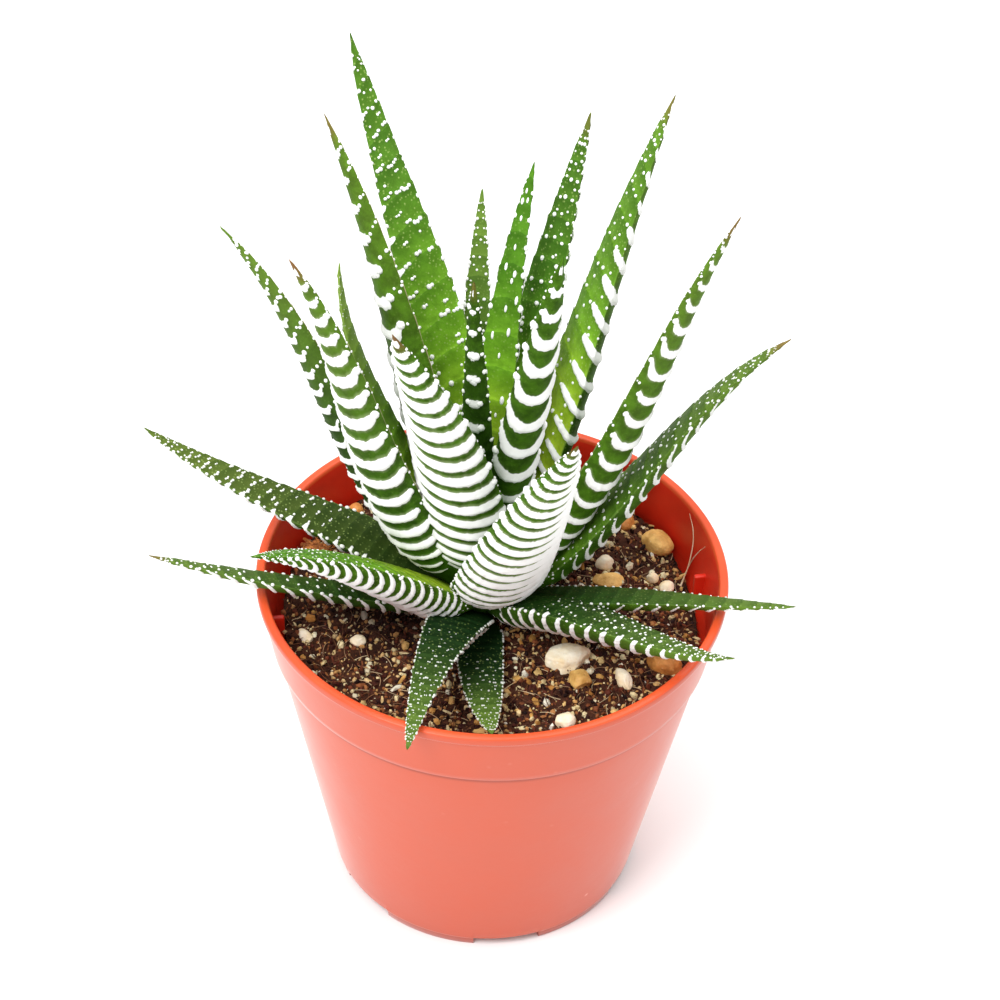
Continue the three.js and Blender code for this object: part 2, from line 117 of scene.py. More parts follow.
# Looks that a leaf has unless LOOKS says otherwise. Pairs hold the two sides of the keel. Round a
# leaf, 0 is the keel, 1 the margin and 2 the middle of the inner face.
PLAIN = {
    "bands": 16,  # white bands across the back
    "cover": 0.4,  # share of their spacing that the bands cover
    "reach": (0.95, 0.95),  # how far round the bands reach
    "curl": 0.9,  # how far their ends run towards the tip, in spacings
    "hook": (0.0, 0.0),  # how far the last of a band turns up
    "skew": 0.0,  # slant of the bands, in spacings
    "merge": (0.0, 0.0),  # how much wider the bands grow towards the margin
    "blunt": 7.0,  # high for blunt ends, low for pointed ones
    "chips": 0.5,  # chance that a dot follows a band's end
    "rows": 3,  # dots in a row on the inner face
    "group": 1,  # dots that stand together
    "bare": 0.2,  # share of the leaf, from its root, without rows
    "dash": 1.0,  # how long the dots are drawn out along the leaf
    "dot": 0.27,  # radius of a dot
    "teeth": 0.3,  # radius of a tooth on the margin
    "stipple": 0.3,  # strength of the finest specks
    "tone": 0.3,  # brightness of the inner face
    # lift is painted light on a leaf towards its tip.
    "lift": 0.0,  # how much lighter the leaf grows towards its tip
    "faint": 0.0,  # how green the white is
    # deep is painted shade towards the root.
    "deep": 0.0,  # how much darker the leaf is towards its root
    "russet": 0.0,  # brown of the inner face
    "wane": (0.68, 0.45),  # where the bands start to shorten, and how much they do
    "blush": 0.0,  # pink of the margin
    "brown": 0.0,  # brown of the tip
    # pale is a painted glow round the bands.
    "pale": 0.05,  # how pale the gaps between bands are
}

LOOKS = {
    "leaf_01": {
        "bands": 17, "rows": 4, "group": 2, "bare": 0.34, "dot": 0.22, "tone": 0.02,
        "stipple": 0.5, "faint": 0.35, "deep": 0.9, "lift": 0.6,
    },
    "leaf_02": {
        "bands": 20, "rows": 5, "group": 2, "bare": 0.36, "dot": 0.23, "tone": 0.04,
        "stipple": 0.4, "faint": 0.3, "deep": 0.85, "lift": 0.5,
    },
    "leaf_03": {
        "bands": 18, "cover": 0.26, "rows": 0, "tone": 0.04, "reach": (0.8, 0.85), "lift": 0.35,
        "faint": 0.05,
    },
    "leaf_05": {
        "bands": 18, "cover": 0.3, "reach": (1.06, 0.5), "rows": 2, "group": 2, "bare": 0.3,
        "dot": 0.32, "tone": 0.2, "brown": 0.5, "lift": 0.45, "faint": 0.1, "deep": 0.5,
        "teeth": 0.4,
    },
    "leaf_06": {
        "bands": 20, "cover": 0.30, "reach": (0.95, 1.15), "curl": 0.35, "rows": 5, "group": 2,
        "bare": 0.27, "dot": 0.28, "tone": 0.05, "stipple": 0.6, "deep": 0.3, "lift": 0.4,
    },
    "leaf_08": {
        "bands": 24, "cover": 0.6, "reach": (1.02, 1.0), "curl": 2.0, "rows": 4, "group": 2,
        "bare": 0.5, "dot": 0.2, "tone": 0.85, "teeth": 0.22, "blunt": 2.2, "stipple": 1.0,
    },
    "leaf_10": {
        "bands": 22, "cover": 0.34, "reach": (1.2, 0.5), "curl": 0.5, "group": 3,
        "bare": 0.36, "dot": 0.34, "tone": 0.08, "teeth": 0.42, "skew": -0.4, "faint": 0.12,
        "deep": 0.35, "stipple": 0.5, "russet": 0.25, "lift": 0.35,
    },
    "leaf_11": {
        "bands": 21, "cover": 0.60, "reach": (1.0, 0.90), "curl": 0.8, "merge": (0.1, 0.0),
        "chips": 0.9, "dot": 0.24, "brown": 0.4, "pale": 0.4, "rows": 1,
    },
    "leaf_12": {
        "bands": 19, "cover": 0.26, "reach": (0.97, 0.9), "curl": 0.3, "hook": (0.0, 0.9),
        "rows": 5, "group": 2, "bare": 0.08, "dot": 0.24, "dash": 1.5,
        "tone": 0.5, "brown": 0.6, "deep": 0.3, "teeth": 0.2, "russet": 0.15, "lift": 0.35,
        "faint": 0.15,
    },
    "leaf_13": {
        "bands": 18, "dot": 0.36, "tone": 0.34, "bare": 0.15, "lift": 0.45, "teeth": 0.45,
        "deep": 0.15,
    },
    "leaf_14": {
        "bands": 24, "cover": 0.36, "reach": (0.34, 0.3), "curl": 0.4, "hook": (0.5, 0.0),
        "chips": 0.9, "dot": 0.36, "tone": 0.2, "blush": 0.8, "deep": 0.65,
        "russet": 0.7, "lift": 0.4,
    },
    "leaf_15": {
        "bands": 19, "cover": 0.48, "reach": (0.76, 0.97), "curl": 0.5, "hook": (0.2, 0.0),
        "merge": (0.1, 0.2), "chips": 0.95, "dot": 0.3, "blush": 0.8, "brown": 0.8,
        "pale": 0.25, "deep": 0.25, "lift": 0.25,
    },
    "leaf_16": {
        "bands": 19, "cover": 0.33, "reach": (0.97, 0.78), "curl": 0.55, "hook": (0.0, 0.4),
        "chips": 0.95, "dot": 0.26, "blush": 0.4, "brown": 0.7, "pale": 0.25,
        "lift": 0.25,
    },
    "leaf_17": {
        "cover": 0.3, "reach": (0.4, 0.4), "tone": 0.75, "dot": 0.14, "teeth": 0.15,
        "lift": 0.9, "deep": 0.15, "faint": 0.3,
    },
    "leaf_18": {
        "bands": 19, "cover": 0.62, "reach": (0.93, 0.93), "curl": 0.65, "merge": (0.1, 0.1),
        "chips": 0.9, "dot": 0.28, "tone": 0.4, "brown": 0.7, "pale": 0.3,
    },
    "leaf_19": {
        "bands": 18, "cover": 0.36, "reach": (1.0, 2.0), "curl": 0.6, "skew": -0.25,
        "bare": 0.15, "dot": 0.42, "tone": 0.85, "brown": 0.5, "stipple": 0.6,
        "wane": (0.5, 0.45), "lift": 0.15,
    },
    "leaf_20": {
        "reach": (0.42, 0.97), "curl": 0.3, "hook": (0.3, 0.0),
        "chips": 0.75, "rows": 2, "tone": 0.5, "blush": 1.0, "brown": 0.5, "dot": 0.36,
        "wane": (0.5, 0.7), "russet": 0.4, "lift": 0.18,
    },
    "leaf_21": {
        "bands": 18, "cover": 0.24, "reach": (1.3, 1.15), "curl": 0.6, "skew": 0.3,
        "group": 3, "bare": 0.1, "dot": 0.46, "tone": 0.68, "stipple": 0.7, "teeth": 0.5,
        "wane": (0.5, 0.4), "lift": 0.15,
    },
    "leaf_22": {
        "bands": 22, "cover": 0.32, "reach": (0.95, 1.05), "bare": 0.08, "dot": 0.46,
        "tone": 0.56, "stipple": 0.6, "lift": 0.12, "brown": 0.3,
    },
    "leaf_23": {
        "bands": 13, "cover": 0.38, "curl": 0.8, "hook": (0.1, 0.15),
        "chips": 0.9, "dot": 0.34, "tone": 0.4, "wane": (0.68, 0.8), "deep": 0.2,
    },
    "leaf_24": {
        "bands": 13, "cover": 0.3, "rows": 2, "bare": 0.1, "dash": 2.6, "dot": 0.36, "tone": 0.8,
        "teeth": 0.4,
    },
    "leaf_25": {
        "bands": 13, "cover": 0.36, "reach": (0.3, 0.3), "curl": 0.5, "chips": 1.0, "dash": 1.3,
        "dot": 0.48, "tone": 0.4, "deep": 0.45, "wane": (0.5, 0.6), "brown": 0.4,
    },
}

LEAF_STEP = 0.42  # spacing of the mesh on a leaf
RIB_STEPS = 60
TIP_WIDTH = 0.9
LEAST_DEPTH = 0.55
BACK_DEPTH = 0.31  # share of the width
INNER_SWELL = 0.05  # share of the width
BACK_CURVE = 1.3  # 1 for a round back, more for a keeled one
ROOT_RUN = 0.17  # share of the length over which a leaf broadens from its root
TIP_RUN = 0.07  # share of the length over which the tip rounds off
BAND_FIRST = 0.1  # where the first and the last band sit along a leaf
BAND_LAST = 0.965
END_JITTER = 0.07
COVER_JITTER = 0.08
WIDEST_SLANT = 0.58  # most of its spacing that a slanting band may cover
TOOTH_CHANCE = 0.85
GAP_CHANCE = 0.12  # chance that a dot is missing from its row

# Colour of the inner face from dull to bright.
INNER_GREENS = [
    (0.0, (0.022, 0.066, 0.010)), (0.35, (0.058, 0.180, 0.012)),
    (0.65, (0.20, 0.44, 0.024)), (1.0, (0.48, 0.66, 0.035)),
]
# What the greens turn to: the leaf's own colours, and the colours of painted light and painted
# shade.
LEAF_TINTS = {
    # painted light towards the tip
    "lift": (0.25, 0.38, 0.06),
    "russet": (0.17, 0.13, 0.035),
    # painted shade towards the root
    "deep": (0.008, 0.026, 0.008),
    # painted shadow between two bands
    "shade": (0.3, 0.42, 0.35),  # multiplies the green between two bands
    "patch": (0.62, 0.66, 0.6),  # multiplies the inner green in patches
    # painted shade at the root, for dull and for bright leaves
    "dull root": (0.006, 0.028, 0.004),
    "bright root": (0.05, 0.16, 0.006),
    # painted glow round the bands
    "pale": (0.4, 0.45, 0.25),
    "margin": (0.22, 0.36, 0.09),
    "blush": (0.50, 0.40, 0.27),
    "speck": (0.36, 0.48, 0.14),
    "tip": (0.24, 0.10, 0.045),
}

SOIL_LEVEL = 60.0
SOIL_SLOPE = 0.025
SOIL_DIP = 4.0
SOIL_DIP_AT = (38, 4)
SOIL_DIP_SPREAD = 170
SOIL_RINGS = 64
SOIL_SEGMENTS = 220
SOIL_CRUMBLE = 0.75  # height of the unevenness in its top
WALL_GAP = 0.35  # between the soil and the pot
FLOOR_GAP = 0.3
# Painted shadow of the lowest leaves darkens the soil round this place: fully near by, not at all
# farther off.
LEAF_SHADOW_AT = (-14 * MM, 4 * MM, SOIL_LEVEL * MM)
LEAF_SHADOW_NEAR = 9 * MM
LEAF_SHADOW_FAR = 21 * MM

# Crumbs and grit: their three shapes, and the spacing and least size of each.
BIT_SHAPES = ((1.0, 0.75, 0.6), (1.6, 0.6, 0.45), (0.9, 1.0, 0.7))
CRUMB_SPACING, CRUMB_LEAST = 0.66 * MM, 0.5
GRIT_SPACING, GRIT_LEAST = 1.9 * MM, 0.35
# Fibres: how they bend and tilt, in radians, and their sizes.
FIBRE_BENDS = (0.12, 0.3, -0.22)
FIBRE_TILT = 0.35
FIBRE_SPACING, FIBRE_LENGTH, FIBRE_THICKNESS = 1.5 * MM, 4.5 * MM, 0.08 * MM
FULL_TURN = 6.28

# Colours that the bits' own tints pick, from 0 to 1.
CRUMB_STOPS = [
    (0.0, (0.010, 0.002, 0.002)), (0.3, (0.055, 0.010, 0.007)), (0.5, (0.17, 0.040, 0.018)),
    (0.67, (0.40, 0.14, 0.045)), (0.8, (0.78, 0.46, 0.16)), (0.95, (0.97, 0.80, 0.44)),
]
GRIT_STOPS = [
    (0.0, (0.40, 0.15, 0.03)), (0.2, (0.70, 0.38, 0.10)), (0.4, (0.88, 0.64, 0.27)),
    (0.65, (0.95, 0.84, 0.50)), (1.0, (0.98, 0.95, 0.82)),
]
FIBRE_STOPS = [(0.0, (0.06, 0.02, 0.01)), (0.6, (0.30, 0.12, 0.05)), (1.0, (0.85, 0.66, 0.40))]

# name: place, length, width and height, turn, kind of stone, angularity
STONES = {
    "stone_tan": ((30.8, 19.2), (7, 4.8, 4), -45, "tan", 0.3),
    "stone_orange": ((24.5, 24.6), (4.6, 4.2, 3.6), 70, "orange", 0.5),
    "stone_cream": ((20.8, 12.7), (3.6, 3, 3), 20, "pale", 1.2),
    "stone_ochre": ((21.4, 8.5), (6, 4.2, 2.2), 5, "tan", 0.9),
    "stone_white_a": ((29.7, 11), (2.4, 2.2, 2.2), 0, "pale", 0.6),
    "stone_white_b": ((32.3, 9.1), (3, 2.8, 2.6), 40, "pale", 0.6),
    "stone_pale": ((13.6, -12.7), (8.8, 6.4, 4.6), 18, "pale", 1.4),
    "stone_rough": ((16.2, -17.6), (4.4, 4.2, 3.4), 0, "tan", 1.2),
    "stone_wedge": ((23.9, -17), (5, 2.8, 3), -62, "pale", 1.0),
    "stone_brown": ((31.2, -12.4), (7, 5, 3.4), -20, "orange", 0.6),
    "stone_white_c": ((13.5, -27.6), (3.6, 3.2, 3), 10, "pale", 0.8),
    "stone_chip_a": ((-33.2, -8.6), (4.2, 2.2, 2), -50, "pale", 1.0),
    "stone_chip_b": ((-23.7, -9.9), (3, 2.6, 2.2), 0, "pale", 1.0),
    "stone_pink": ((-26.4, 24.6), (3.4, 3, 3.2), 60, "orange", 0.3),
}

STONE_RISE = 0.17  # share of its height by which a stone's middle stands over the soil

# Each kind of stone's dark, light and fleck colours.
STONE_COLOURS = {
    "tan": ((0.50, 0.25, 0.05), (0.95, 0.60, 0.19), (0.97, 0.77, 0.40)),
    "orange": ((0.40, 0.13, 0.02), (0.86, 0.38, 0.09), (0.92, 0.58, 0.25)),
    "pale": ((0.86, 0.68, 0.40), (0.98, 0.93, 0.76), (0.99, 0.97, 0.90)),
}

BARK = {
    "at": (-33.2, 13.6),
    "splinters": 5,
    "length": 6.5,
    "width": 1.2,
    "hairs": 44,
    "hair_reach": 38.0,  # from the pot's middle
    "hair_radius": 0.08,
}

# Two dry hairs that lean on the inner wall.
HAIR_RADIUS = 0.13
HAIR_ROUTES = [
    [(35.2, 10.8, 57.2), (36.6, 12.9, 62.3), (36.9, 15.2, 66.8), (36.1, 17.6, 69.3)],
    [(35.0, 10.6, 57.2), (36.4, 13.2, 59.8), (37.6, 11.9, 64.4), (38.8, 9.8, 68.2)],
]

POT = {
    "height": 70.0,
    "rim": 42.5,
    "lip": 0.5,  # how far the rim stands out from the collar
    "collar_foot": 40.3,
    "neck_z": 57.5,  # height of the collar's foot
    "neck": 39.6,  # radius of the wall under the collar
    "base": 29.0,  # radius of the foot ring
    "step": 0.5,  # how far the wall stands out from the foot ring
    "wall": 1.2,
    "floor_lift": 2.2,
    "floor_thick": 1.4,
    "pad": 12.0,  # radius of the flat middle that it stands on
    "foot_width": 2.4,
    "notches": 6,
    "notch_width": 12.5,
    "first_notch": -80.0,
    "drain_radius": 3.0,
    "drain_circle": 19.5,
    "lugs": 4,
    "first_lug": 11.0,
    "lug_size": (2.4, 1.1, 5.6),
    "lug_z": 60.45,
    "lug_inset": 0.8,  # of a lug's middle from the wall
}

FLOOR_HALF = 6.0  # metres
# name, offset from the rim's middle, share of the key light's power, size in metres
LAMPS = (
    ("Key", (-0.30, -0.36, 0.66), 1.0, 0.4),
    ("Top", (0.1, 0.15, 0.8), 0.9, 0.8),
)
# How far right of the rim's middle, and above it, the camera looks.
AIM_RIGHT = 1.3
AIM_UP = 11.9

# ---------------------------------------------------------------- settings a user would change


class HaworthiaPotSettings(bpy.types.PropertyGroup):
    """Finish of the nursery pot."""

    segments: IntProperty(
        name="Segments", description="Faces round the pot", default=240, min=48, max=480
    )
    outside: FloatVectorProperty(
        name="Outside", description="Colour of the outer wall", subtype="COLOR", size=3,
        default=(0.555, 0.078, 0.027), min=0, max=1,
    )
    rim: FloatVectorProperty(
        name="Rim", description="Colour of the rim", subtype="COLOR", size=3,
        default=(0.74, 0.092, 0.024), min=0, max=1,
    )
    inside: FloatVectorProperty(
        name="Inside", description="Colour of the inner wall", subtype="COLOR", size=3,
        default=(0.74, 0.030, 0.010), min=0, max=1,
    )


class HaworthiaLeafSettings(bpy.types.PropertyGroup):
    """Form and colour of the leaves."""

    band_height: FloatProperty(
        name="Band height", description="How far a white band stands out", default=0.55 * MM,
        unit="LENGTH", min=0, max=2 * MM,
    )
    beadiness: FloatProperty(
        name="Beadiness", description="How scalloped the bands' edges are", default=0.45,
        subtype="FACTOR", min=0, max=1,
    )
    seed: IntProperty(name="Seed", description="Which draw of bands and dots", default=11)
    back: FloatVectorProperty(
        name="Back", description="Green of the leaves' backs", subtype="COLOR", size=3,
        default=(0.050, 0.128, 0.006), min=0, max=1,
    )
    band: FloatVectorProperty(
        name="Band", description="White of bands and dots", subtype="COLOR", size=3,
        default=(0.93, 0.93, 0.91), min=0, max=1,
    )


class HaworthiaSoilSettings(bpy.types.PropertyGroup):
    """Soil, grit and fibres."""

    crumb: FloatProperty(
        name="Crumb size", description="Radius of a soil crumb", default=0.72 * MM,
        unit="LENGTH", min=0.1 * MM, max=3 * MM,
    )
    grit: FloatProperty(
        name="Grit size", description="Radius of a bit of grit", default=1.15 * MM,
        unit="LENGTH", min=0.1 * MM, max=3 * MM,
    )
    seed: IntProperty(name="Seed", description="Which draw of crumbs and grit", default=5)
    peat: FloatVectorProperty(
        name="Peat", description="Dark brown of the soil", subtype="COLOR", size=3,
        default=(0.030, 0.010, 0.005), min=0, max=1,
    )


class HaworthiaStageSettings(bpy.types.PropertyGroup):
    """Camera, light and floor."""

    elevation: FloatProperty(
        name="Elevation", description="How far above the horizon the camera stands",
        default=math.radians(41), subtype="ANGLE",
    )
    roll: FloatProperty(
        name="Roll", description="Turn of the camera about its own axis",
        default=math.radians(2), subtype="ANGLE",
    )
    distance: FloatProperty(
        name="Distance", description="From the camera to the rim's middle", default=0.45,
        unit="LENGTH",
    )
    lens: FloatProperty(name="Lens", description="Focal length in millimetres", default=90.1)
    sky: FloatProperty(name="Sky", description="Strength of the soft light all round", default=0.92)
    key: FloatProperty(name="Key", description="Power of the main light in watts", default=5.0)
    floor: FloatVectorProperty(
        name="Floor", description="Colour of the floor", subtype="COLOR", size=3,
        default=(0.9, 0.9, 0.9), min=0, max=1,
    )


# ---------------------------------------------------------------- node helpers

VALUE, WHOLE, VECTOR = "NodeSocketFloat", "NodeSocketInt", "NodeSocketVector"
COLOUR, FINISH = "NodeSocketColor", "NodeSocketMaterial"


class Nodes:
    """Adds nodes to a tree and joins them up."""

    def __init__(self, tree):
        self.tree = tree

    def add(self, kind, inputs=None, **settings):
        """A node with its settings and inputs; an input may be a value or another socket."""
        node = self.tree.nodes.new(kind)
        for key, value in settings.items():
            setattr(node, key, value)
        for key, value in (inputs or {}).items():
            self.feed(node.inputs[key], value)
        return node

    def feed(self, socket, value):
        """Sets a socket, or links another one to it."""
        if isinstance(value, bpy.types.NodeSocket):
            self.tree.links.new(value, socket)
        else:
            socket.default_value = value

    def math(self, operation, *values, clamp=False):
        inputs = dict(enumerate(values))
        return self.add("ShaderNodeMath", inputs, operation=operation, use_clamp=clamp).outputs[0]

    def times(self, first, *others):
        """The product of two or more values."""
        for other in others:
            first = self.math("MULTIPLY", first, other)
        return first

    def plus(self, a, b):
        return self.math("ADD", a, b)

    def minus(self, a, b, clamp=False):
        return self.math("SUBTRACT", a, b, clamp=clamp)

    def ramp(self, value, low, high, to_low=0.0, to_high=1.0):
        """Smooth step of a value between two limits."""
        inputs = dict(enumerate((value, low, high, to_low, to_high)))
        node = self.add("ShaderNodeMapRange", inputs, interpolation_type="SMOOTHSTEP")
        return node.outputs[0]

    def mix(self, factor, a, b, blend="MIX"):
        """A colour between a and b."""
        node = self.add("ShaderNodeMix", data_type="RGBA", blend_type=blend)
        for index, value in ((0, factor), (6, rgba(a)), (7, rgba(b))):
            self.feed(node.inputs[index], value)
        return node.outputs[2]

    def stain(self, colour, by, factor=1.0):
        """A colour darkened by another."""
        return self.mix(factor, colour, by, blend="MULTIPLY")

    def cloud(self, vector, scale, detail, roughness=0.5):
        """Soft noise between 0 and 1."""
        inputs = {"Vector": vector, "Scale": scale, "Detail": detail, "Roughness": roughness}
        return self.add("ShaderNodeTexNoise", inputs).outputs[0]

    def vector(self, operation, inputs):
        return self.add("ShaderNodeVectorMath", inputs, operation=operation).outputs

    def attribute(self, name, kind="FLOAT"):
        if self.tree.type == "SHADER":
            return self.add("ShaderNodeAttribute", attribute_name=name).outputs["Fac"]
        node = self.add("GeometryNodeInputNamedAttribute", {"Name": name}, data_type=kind)
        return node.outputs["Attribute"]

    def attributes(self, names):
        """The attributes with these names, which a string holds with spaces between."""
        return [self.attribute(name) for name in names.split()]

    def position(self):
        return self.add("GeometryNodeInputPosition").outputs[0]

    def store(self, geometry, name, value, domain="POINT"):
        """Keeps a value on the geometry as a named attribute."""
        inputs = {"Geometry": geometry, "Name": name, "Value": value}
        node = self.add(
            "GeometryNodeStoreNamedAttribute", inputs, data_type="FLOAT", domain=domain
        )
        return node.outputs[0]

    def random(self, low, high, seed, kind="FLOAT"):
        """A random number or vector for each element."""
        node = self.add("FunctionNodeRandomValue", {"Seed": seed}, data_type=kind)
        low_socket, result = (0, 0) if kind == "FLOAT_VECTOR" else (2, 1)
        self.feed(node.inputs[low_socket], low)
        self.feed(node.inputs[low_socket + 1], high)
        return node.outputs[result]

    def end(self, result, geometry, material, smooth=True):
        """Makes instances real, gives them their material and ends the tree."""
        real = self.add("GeometryNodeRealizeInstances", {"Geometry": geometry}).outputs[0]
        if smooth:
            real = self.add("GeometryNodeSetShadeSmooth", {"Geometry": real}).outputs[0]
        painted = self.add("GeometryNodeSetMaterial", {"Geometry": real, "Material": material})
        self.feed(result["Geometry"], painted.outputs[0])


def rgba(value):
    """Colours get their alpha; sockets and numbers pass through."""
    if isinstance(value, bpy.types.NodeSocket):
        return value
    return (*value[:3], 1.0)


def scaled(colour, factor):
    """A darker or lighter colour."""
    return tuple(factor * c for c in colour)


def new_tree(name, kind, inputs, outputs):
    """An empty tree with named sockets: the tree, its helper, and the sockets of its ends."""
    tree = bpy.data.node_groups.new(name, kind)
    for label, socket_type, default in inputs:
        socket = tree.interface.new_socket(name=label, in_out="INPUT", socket_type=socket_type)
        if default is not None:
            socket.default_value = default
    for label, socket_type in outputs:
        tree.interface.new_socket(name=label, in_out="OUTPUT", socket_type=socket_type)
    nodes = Nodes(tree)
    return tree, nodes, nodes.add("NodeGroupInput").outputs, nodes.add("NodeGroupOutput").inputs


def mottle_group():
    """Patchy colour and fine height, on any surface."""
    if "Mottle" in bpy.data.node_groups:
        return bpy.data.node_groups["Mottle"]
    tree, nodes, given, result = new_tree(
        "Mottle",
        "ShaderNodeTree",
        [
            ("Vector", VECTOR, None),
            ("Scale", VALUE, 200.0),
            ("Spread", VALUE, 0.5),
            ("Dark", COLOUR, (0.1, 0.1, 0.1, 1)),
            ("Light", COLOUR, (0.5, 0.5, 0.5, 1)),
        ],
        [("Color", COLOUR), ("Mask", VALUE), ("Height", VALUE)],
    )
    broad = nodes.cloud(given["Vector"], given["Scale"], 5.0, 0.6)
    fine = nodes.cloud(given["Vector"], nodes.times(given["Scale"], 6.0), 3.0, 0.6)
    half = nodes.times(given["Spread"], 0.5)
    mask = nodes.ramp(broad, nodes.minus(0.5, half), nodes.plus(0.5, half))
    nodes.feed(result["Color"], nodes.mix(mask, given["Dark"], given["Light"]))
    nodes.feed(result["Mask"], mask)
    nodes.feed(result["Height"], nodes.plus(nodes.times(broad, 0.6), fine))
    return tree


def fleck_group():
    """Small scattered flecks, such as dust or mineral grains."""
    if "Flecks" in bpy.data.node_groups:
        return bpy.data.node_groups["Flecks"]
    tree, nodes, given, result = new_tree(
        "Flecks",
        "ShaderNodeTree",
        [
            ("Vector", VECTOR, None),
            ("Scale", VALUE, 400.0),
            ("Size", VALUE, 0.2),
            ("Share", VALUE, 0.3),
        ],
        [("Mask", VALUE)],
    )
    cells = nodes.add(
        "ShaderNodeTexVoronoi", {"Vector": given["Vector"], "Scale": given["Scale"]}
    )
    spot = nodes.ramp(cells.outputs["Distance"], given["Size"], 0.0)
    pick = nodes.add("ShaderNodeSeparateColor", {"Color": cells.outputs["Color"]})
    chosen = nodes.math("LESS_THAN", pick.outputs[0], given["Share"])
    nodes.feed(result["Mask"], nodes.times(spot, chosen))
    return tree


def new_material(name, roughness=0.5, **values):
    """A material with one Principled shader. Returns it, its helper and the shader."""
    material = bpy.data.materials.new(name)
    material.use_nodes = True
    nodes = Nodes(material.node_tree)
    shader = material.node_tree.nodes["Principled BSDF"]
    shader.inputs["Roughness"].default_value = roughness
    for label, value in values.items():
        shader.inputs[label.replace("_", " ")].default_value = value
    return material, nodes, shader


def place_group(nodes, tree, inputs):
    """A group in a material with its own values; returns its outputs."""
    node = nodes.add("ShaderNodeGroup", node_tree=tree)
    for key, value in inputs.items():
        nodes.feed(node.inputs[key], rgba(value) if isinstance(value, tuple) else value)
    return node.outputs


def mottled(nodes, vector, scale, spread, dark, light):
    """The mottle on a surface, between two colours."""
    inputs = {"Vector": vector, "Scale": scale, "Spread": spread, "Dark": dark, "Light": light}
    return place_group(nodes, mottle_group(), inputs)


def flecked(nodes, vector, scale, size, share):
    """Mask of the flecks on a surface."""
    inputs = {"Vector": vector, "Scale": scale, "Size": size, "Share": share}
    return place_group(nodes, fleck_group(), inputs)["Mask"]


def object_coords(nodes):
    return nodes.add("ShaderNodeTexCoord").outputs["Object"]


def clad(nodes, shader, colour, height, strength, depth):
    """Gives a shader its colour and its fine relief."""
    nodes.feed(shader.inputs["Base Color"], colour)
    inputs = {"Height": height, "Strength": strength, "Distance": depth}
    relief = nodes.add("ShaderNodeBump", inputs)
    nodes.feed(shader.inputs["Normal"], relief.outputs[0])


def colour_ramp(nodes, value, stops):
    """Colours along a value; stops are (place, colour)."""
    node = nodes.add("ShaderNodeValToRGB", {"Fac": value})
    ramp = node.color_ramp
    while len(ramp.elements) < len(stops):
        ramp.elements.new(0.5)
    for element, (place, colour) in zip(ramp.elements, stops):
        element.position = place
        element.color = (*colour, 1)
    return node.outputs[0]


# ---------------------------------------------------------------- mesh helpers


def mesh_from(name, points, faces, attributes=None):
    """A mesh in metres from points in millimetres."""
    mesh = bpy.data.meshes.new(name)
    mesh.from_pydata((np.asarray(points) * MM).tolist(), [], faces)
    for label, values in (attributes or {}).items():
        values = np.asarray(values, dtype=np.float32)
        kind, key = ("FLOAT_VECTOR", "vector") if values.ndim == 2 else ("FLOAT", "value")
        mesh.attributes.new(label, kind, "POINT").data.foreach_set(key, values.ravel())
    shade_smooth(mesh)
    mesh.update()
    return mesh


def shade_smooth(mesh):
    mesh.polygons.foreach_set("use_smooth", [True] * len(mesh.polygons))


def mesh_of(shape, name, scale=1.0):
    """A mesh of a finished bmesh, which is freed."""
    bmesh.ops.scale(shape, vec=(scale, scale, scale), verts=shape.verts)
    mesh = bpy.data.meshes.new(name)
    shape.to_mesh(mesh)
    shape.free()
    return mesh


def add_shape(whole, shape):
    """Adds one bmesh to another and frees it."""
    piece = mesh_of(shape, "piece")
    whole.from_mesh(piece)
    bpy.data.meshes.remove(piece)


def revolve_faces(counts, segments):
    """Faces between successive rings, any of which may be a single point."""
    faces = []
    start = 0
    for here, after in zip(counts[:-1], counts[1:]):
        upper = start + here
        for i in range(segments):
            j = (i + 1) % segments
            if here == 1:
                faces.append((start, upper + j, upper + i))
            elif after == 1:
                faces.append((start + i, start + j, upper))
            else:
                faces.append((start + i, start + j, upper + j, upper + i))
        start = upper
    return faces


def object_from(name, mesh, material=None):
    obj = bpy.data.objects.new(name, mesh)
    bpy.context.scene.collection.objects.link(obj)
    if material is not None:
        mesh.materials.clear()
        mesh.materials.append(material)
    return obj


def baked(obj, name):
    """A plain mesh object of obj with its modifiers in the mesh. obj is removed."""
    depsgraph = bpy.context.evaluated_depsgraph_get()
    mesh = bpy.data.meshes.new_from_object(
        obj.evaluated_get(depsgraph), preserve_all_data_layers=True, depsgraph=depsgraph
    )
    old = obj.data
    bpy.data.objects.remove(obj)
    if isinstance(old, bpy.types.Mesh):
        bpy.data.meshes.remove(old)
    mesh.name = name
    made = bpy.data.objects.new(name, mesh)
    bpy.context.scene.collection.objects.link(made)
    if not len(mesh.polygons):
        raise RuntimeError(f"{name} came out empty")
    return made


def finish_piece(obj, slot, *nodes):
    """Ties a finished piece to the frame."""
    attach(obj, "root")
    if nodes:
        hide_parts(*nodes)


def geometry_tree(name, inputs):
    """A Geometry Nodes tree that takes and gives geometry and has further named inputs."""
    shape = ("Geometry", "NodeSocketGeometry")
    made = new_tree(name, "GeometryNodeTree", [(*shape, None), *inputs], [shape])
    made[0].is_modifier = True
    return made


def with_tree(obj, tree, values):
    """Adds the tree to obj as a modifier, with its inputs set by identifier."""
    modifier = obj.modifiers.new(tree.name, "NODES")
    modifier.node_group = tree
    for item in tree.interface.items_tree:
        if item.item_type == "SOCKET" and item.in_out == "INPUT" and item.name in values:
            modifier[item.identifier] = values[item.name]
    return modifier


def smoothstep(x):
    x = np.clip(x, 0, 1)
    return x * x * (3 - 2 * x)


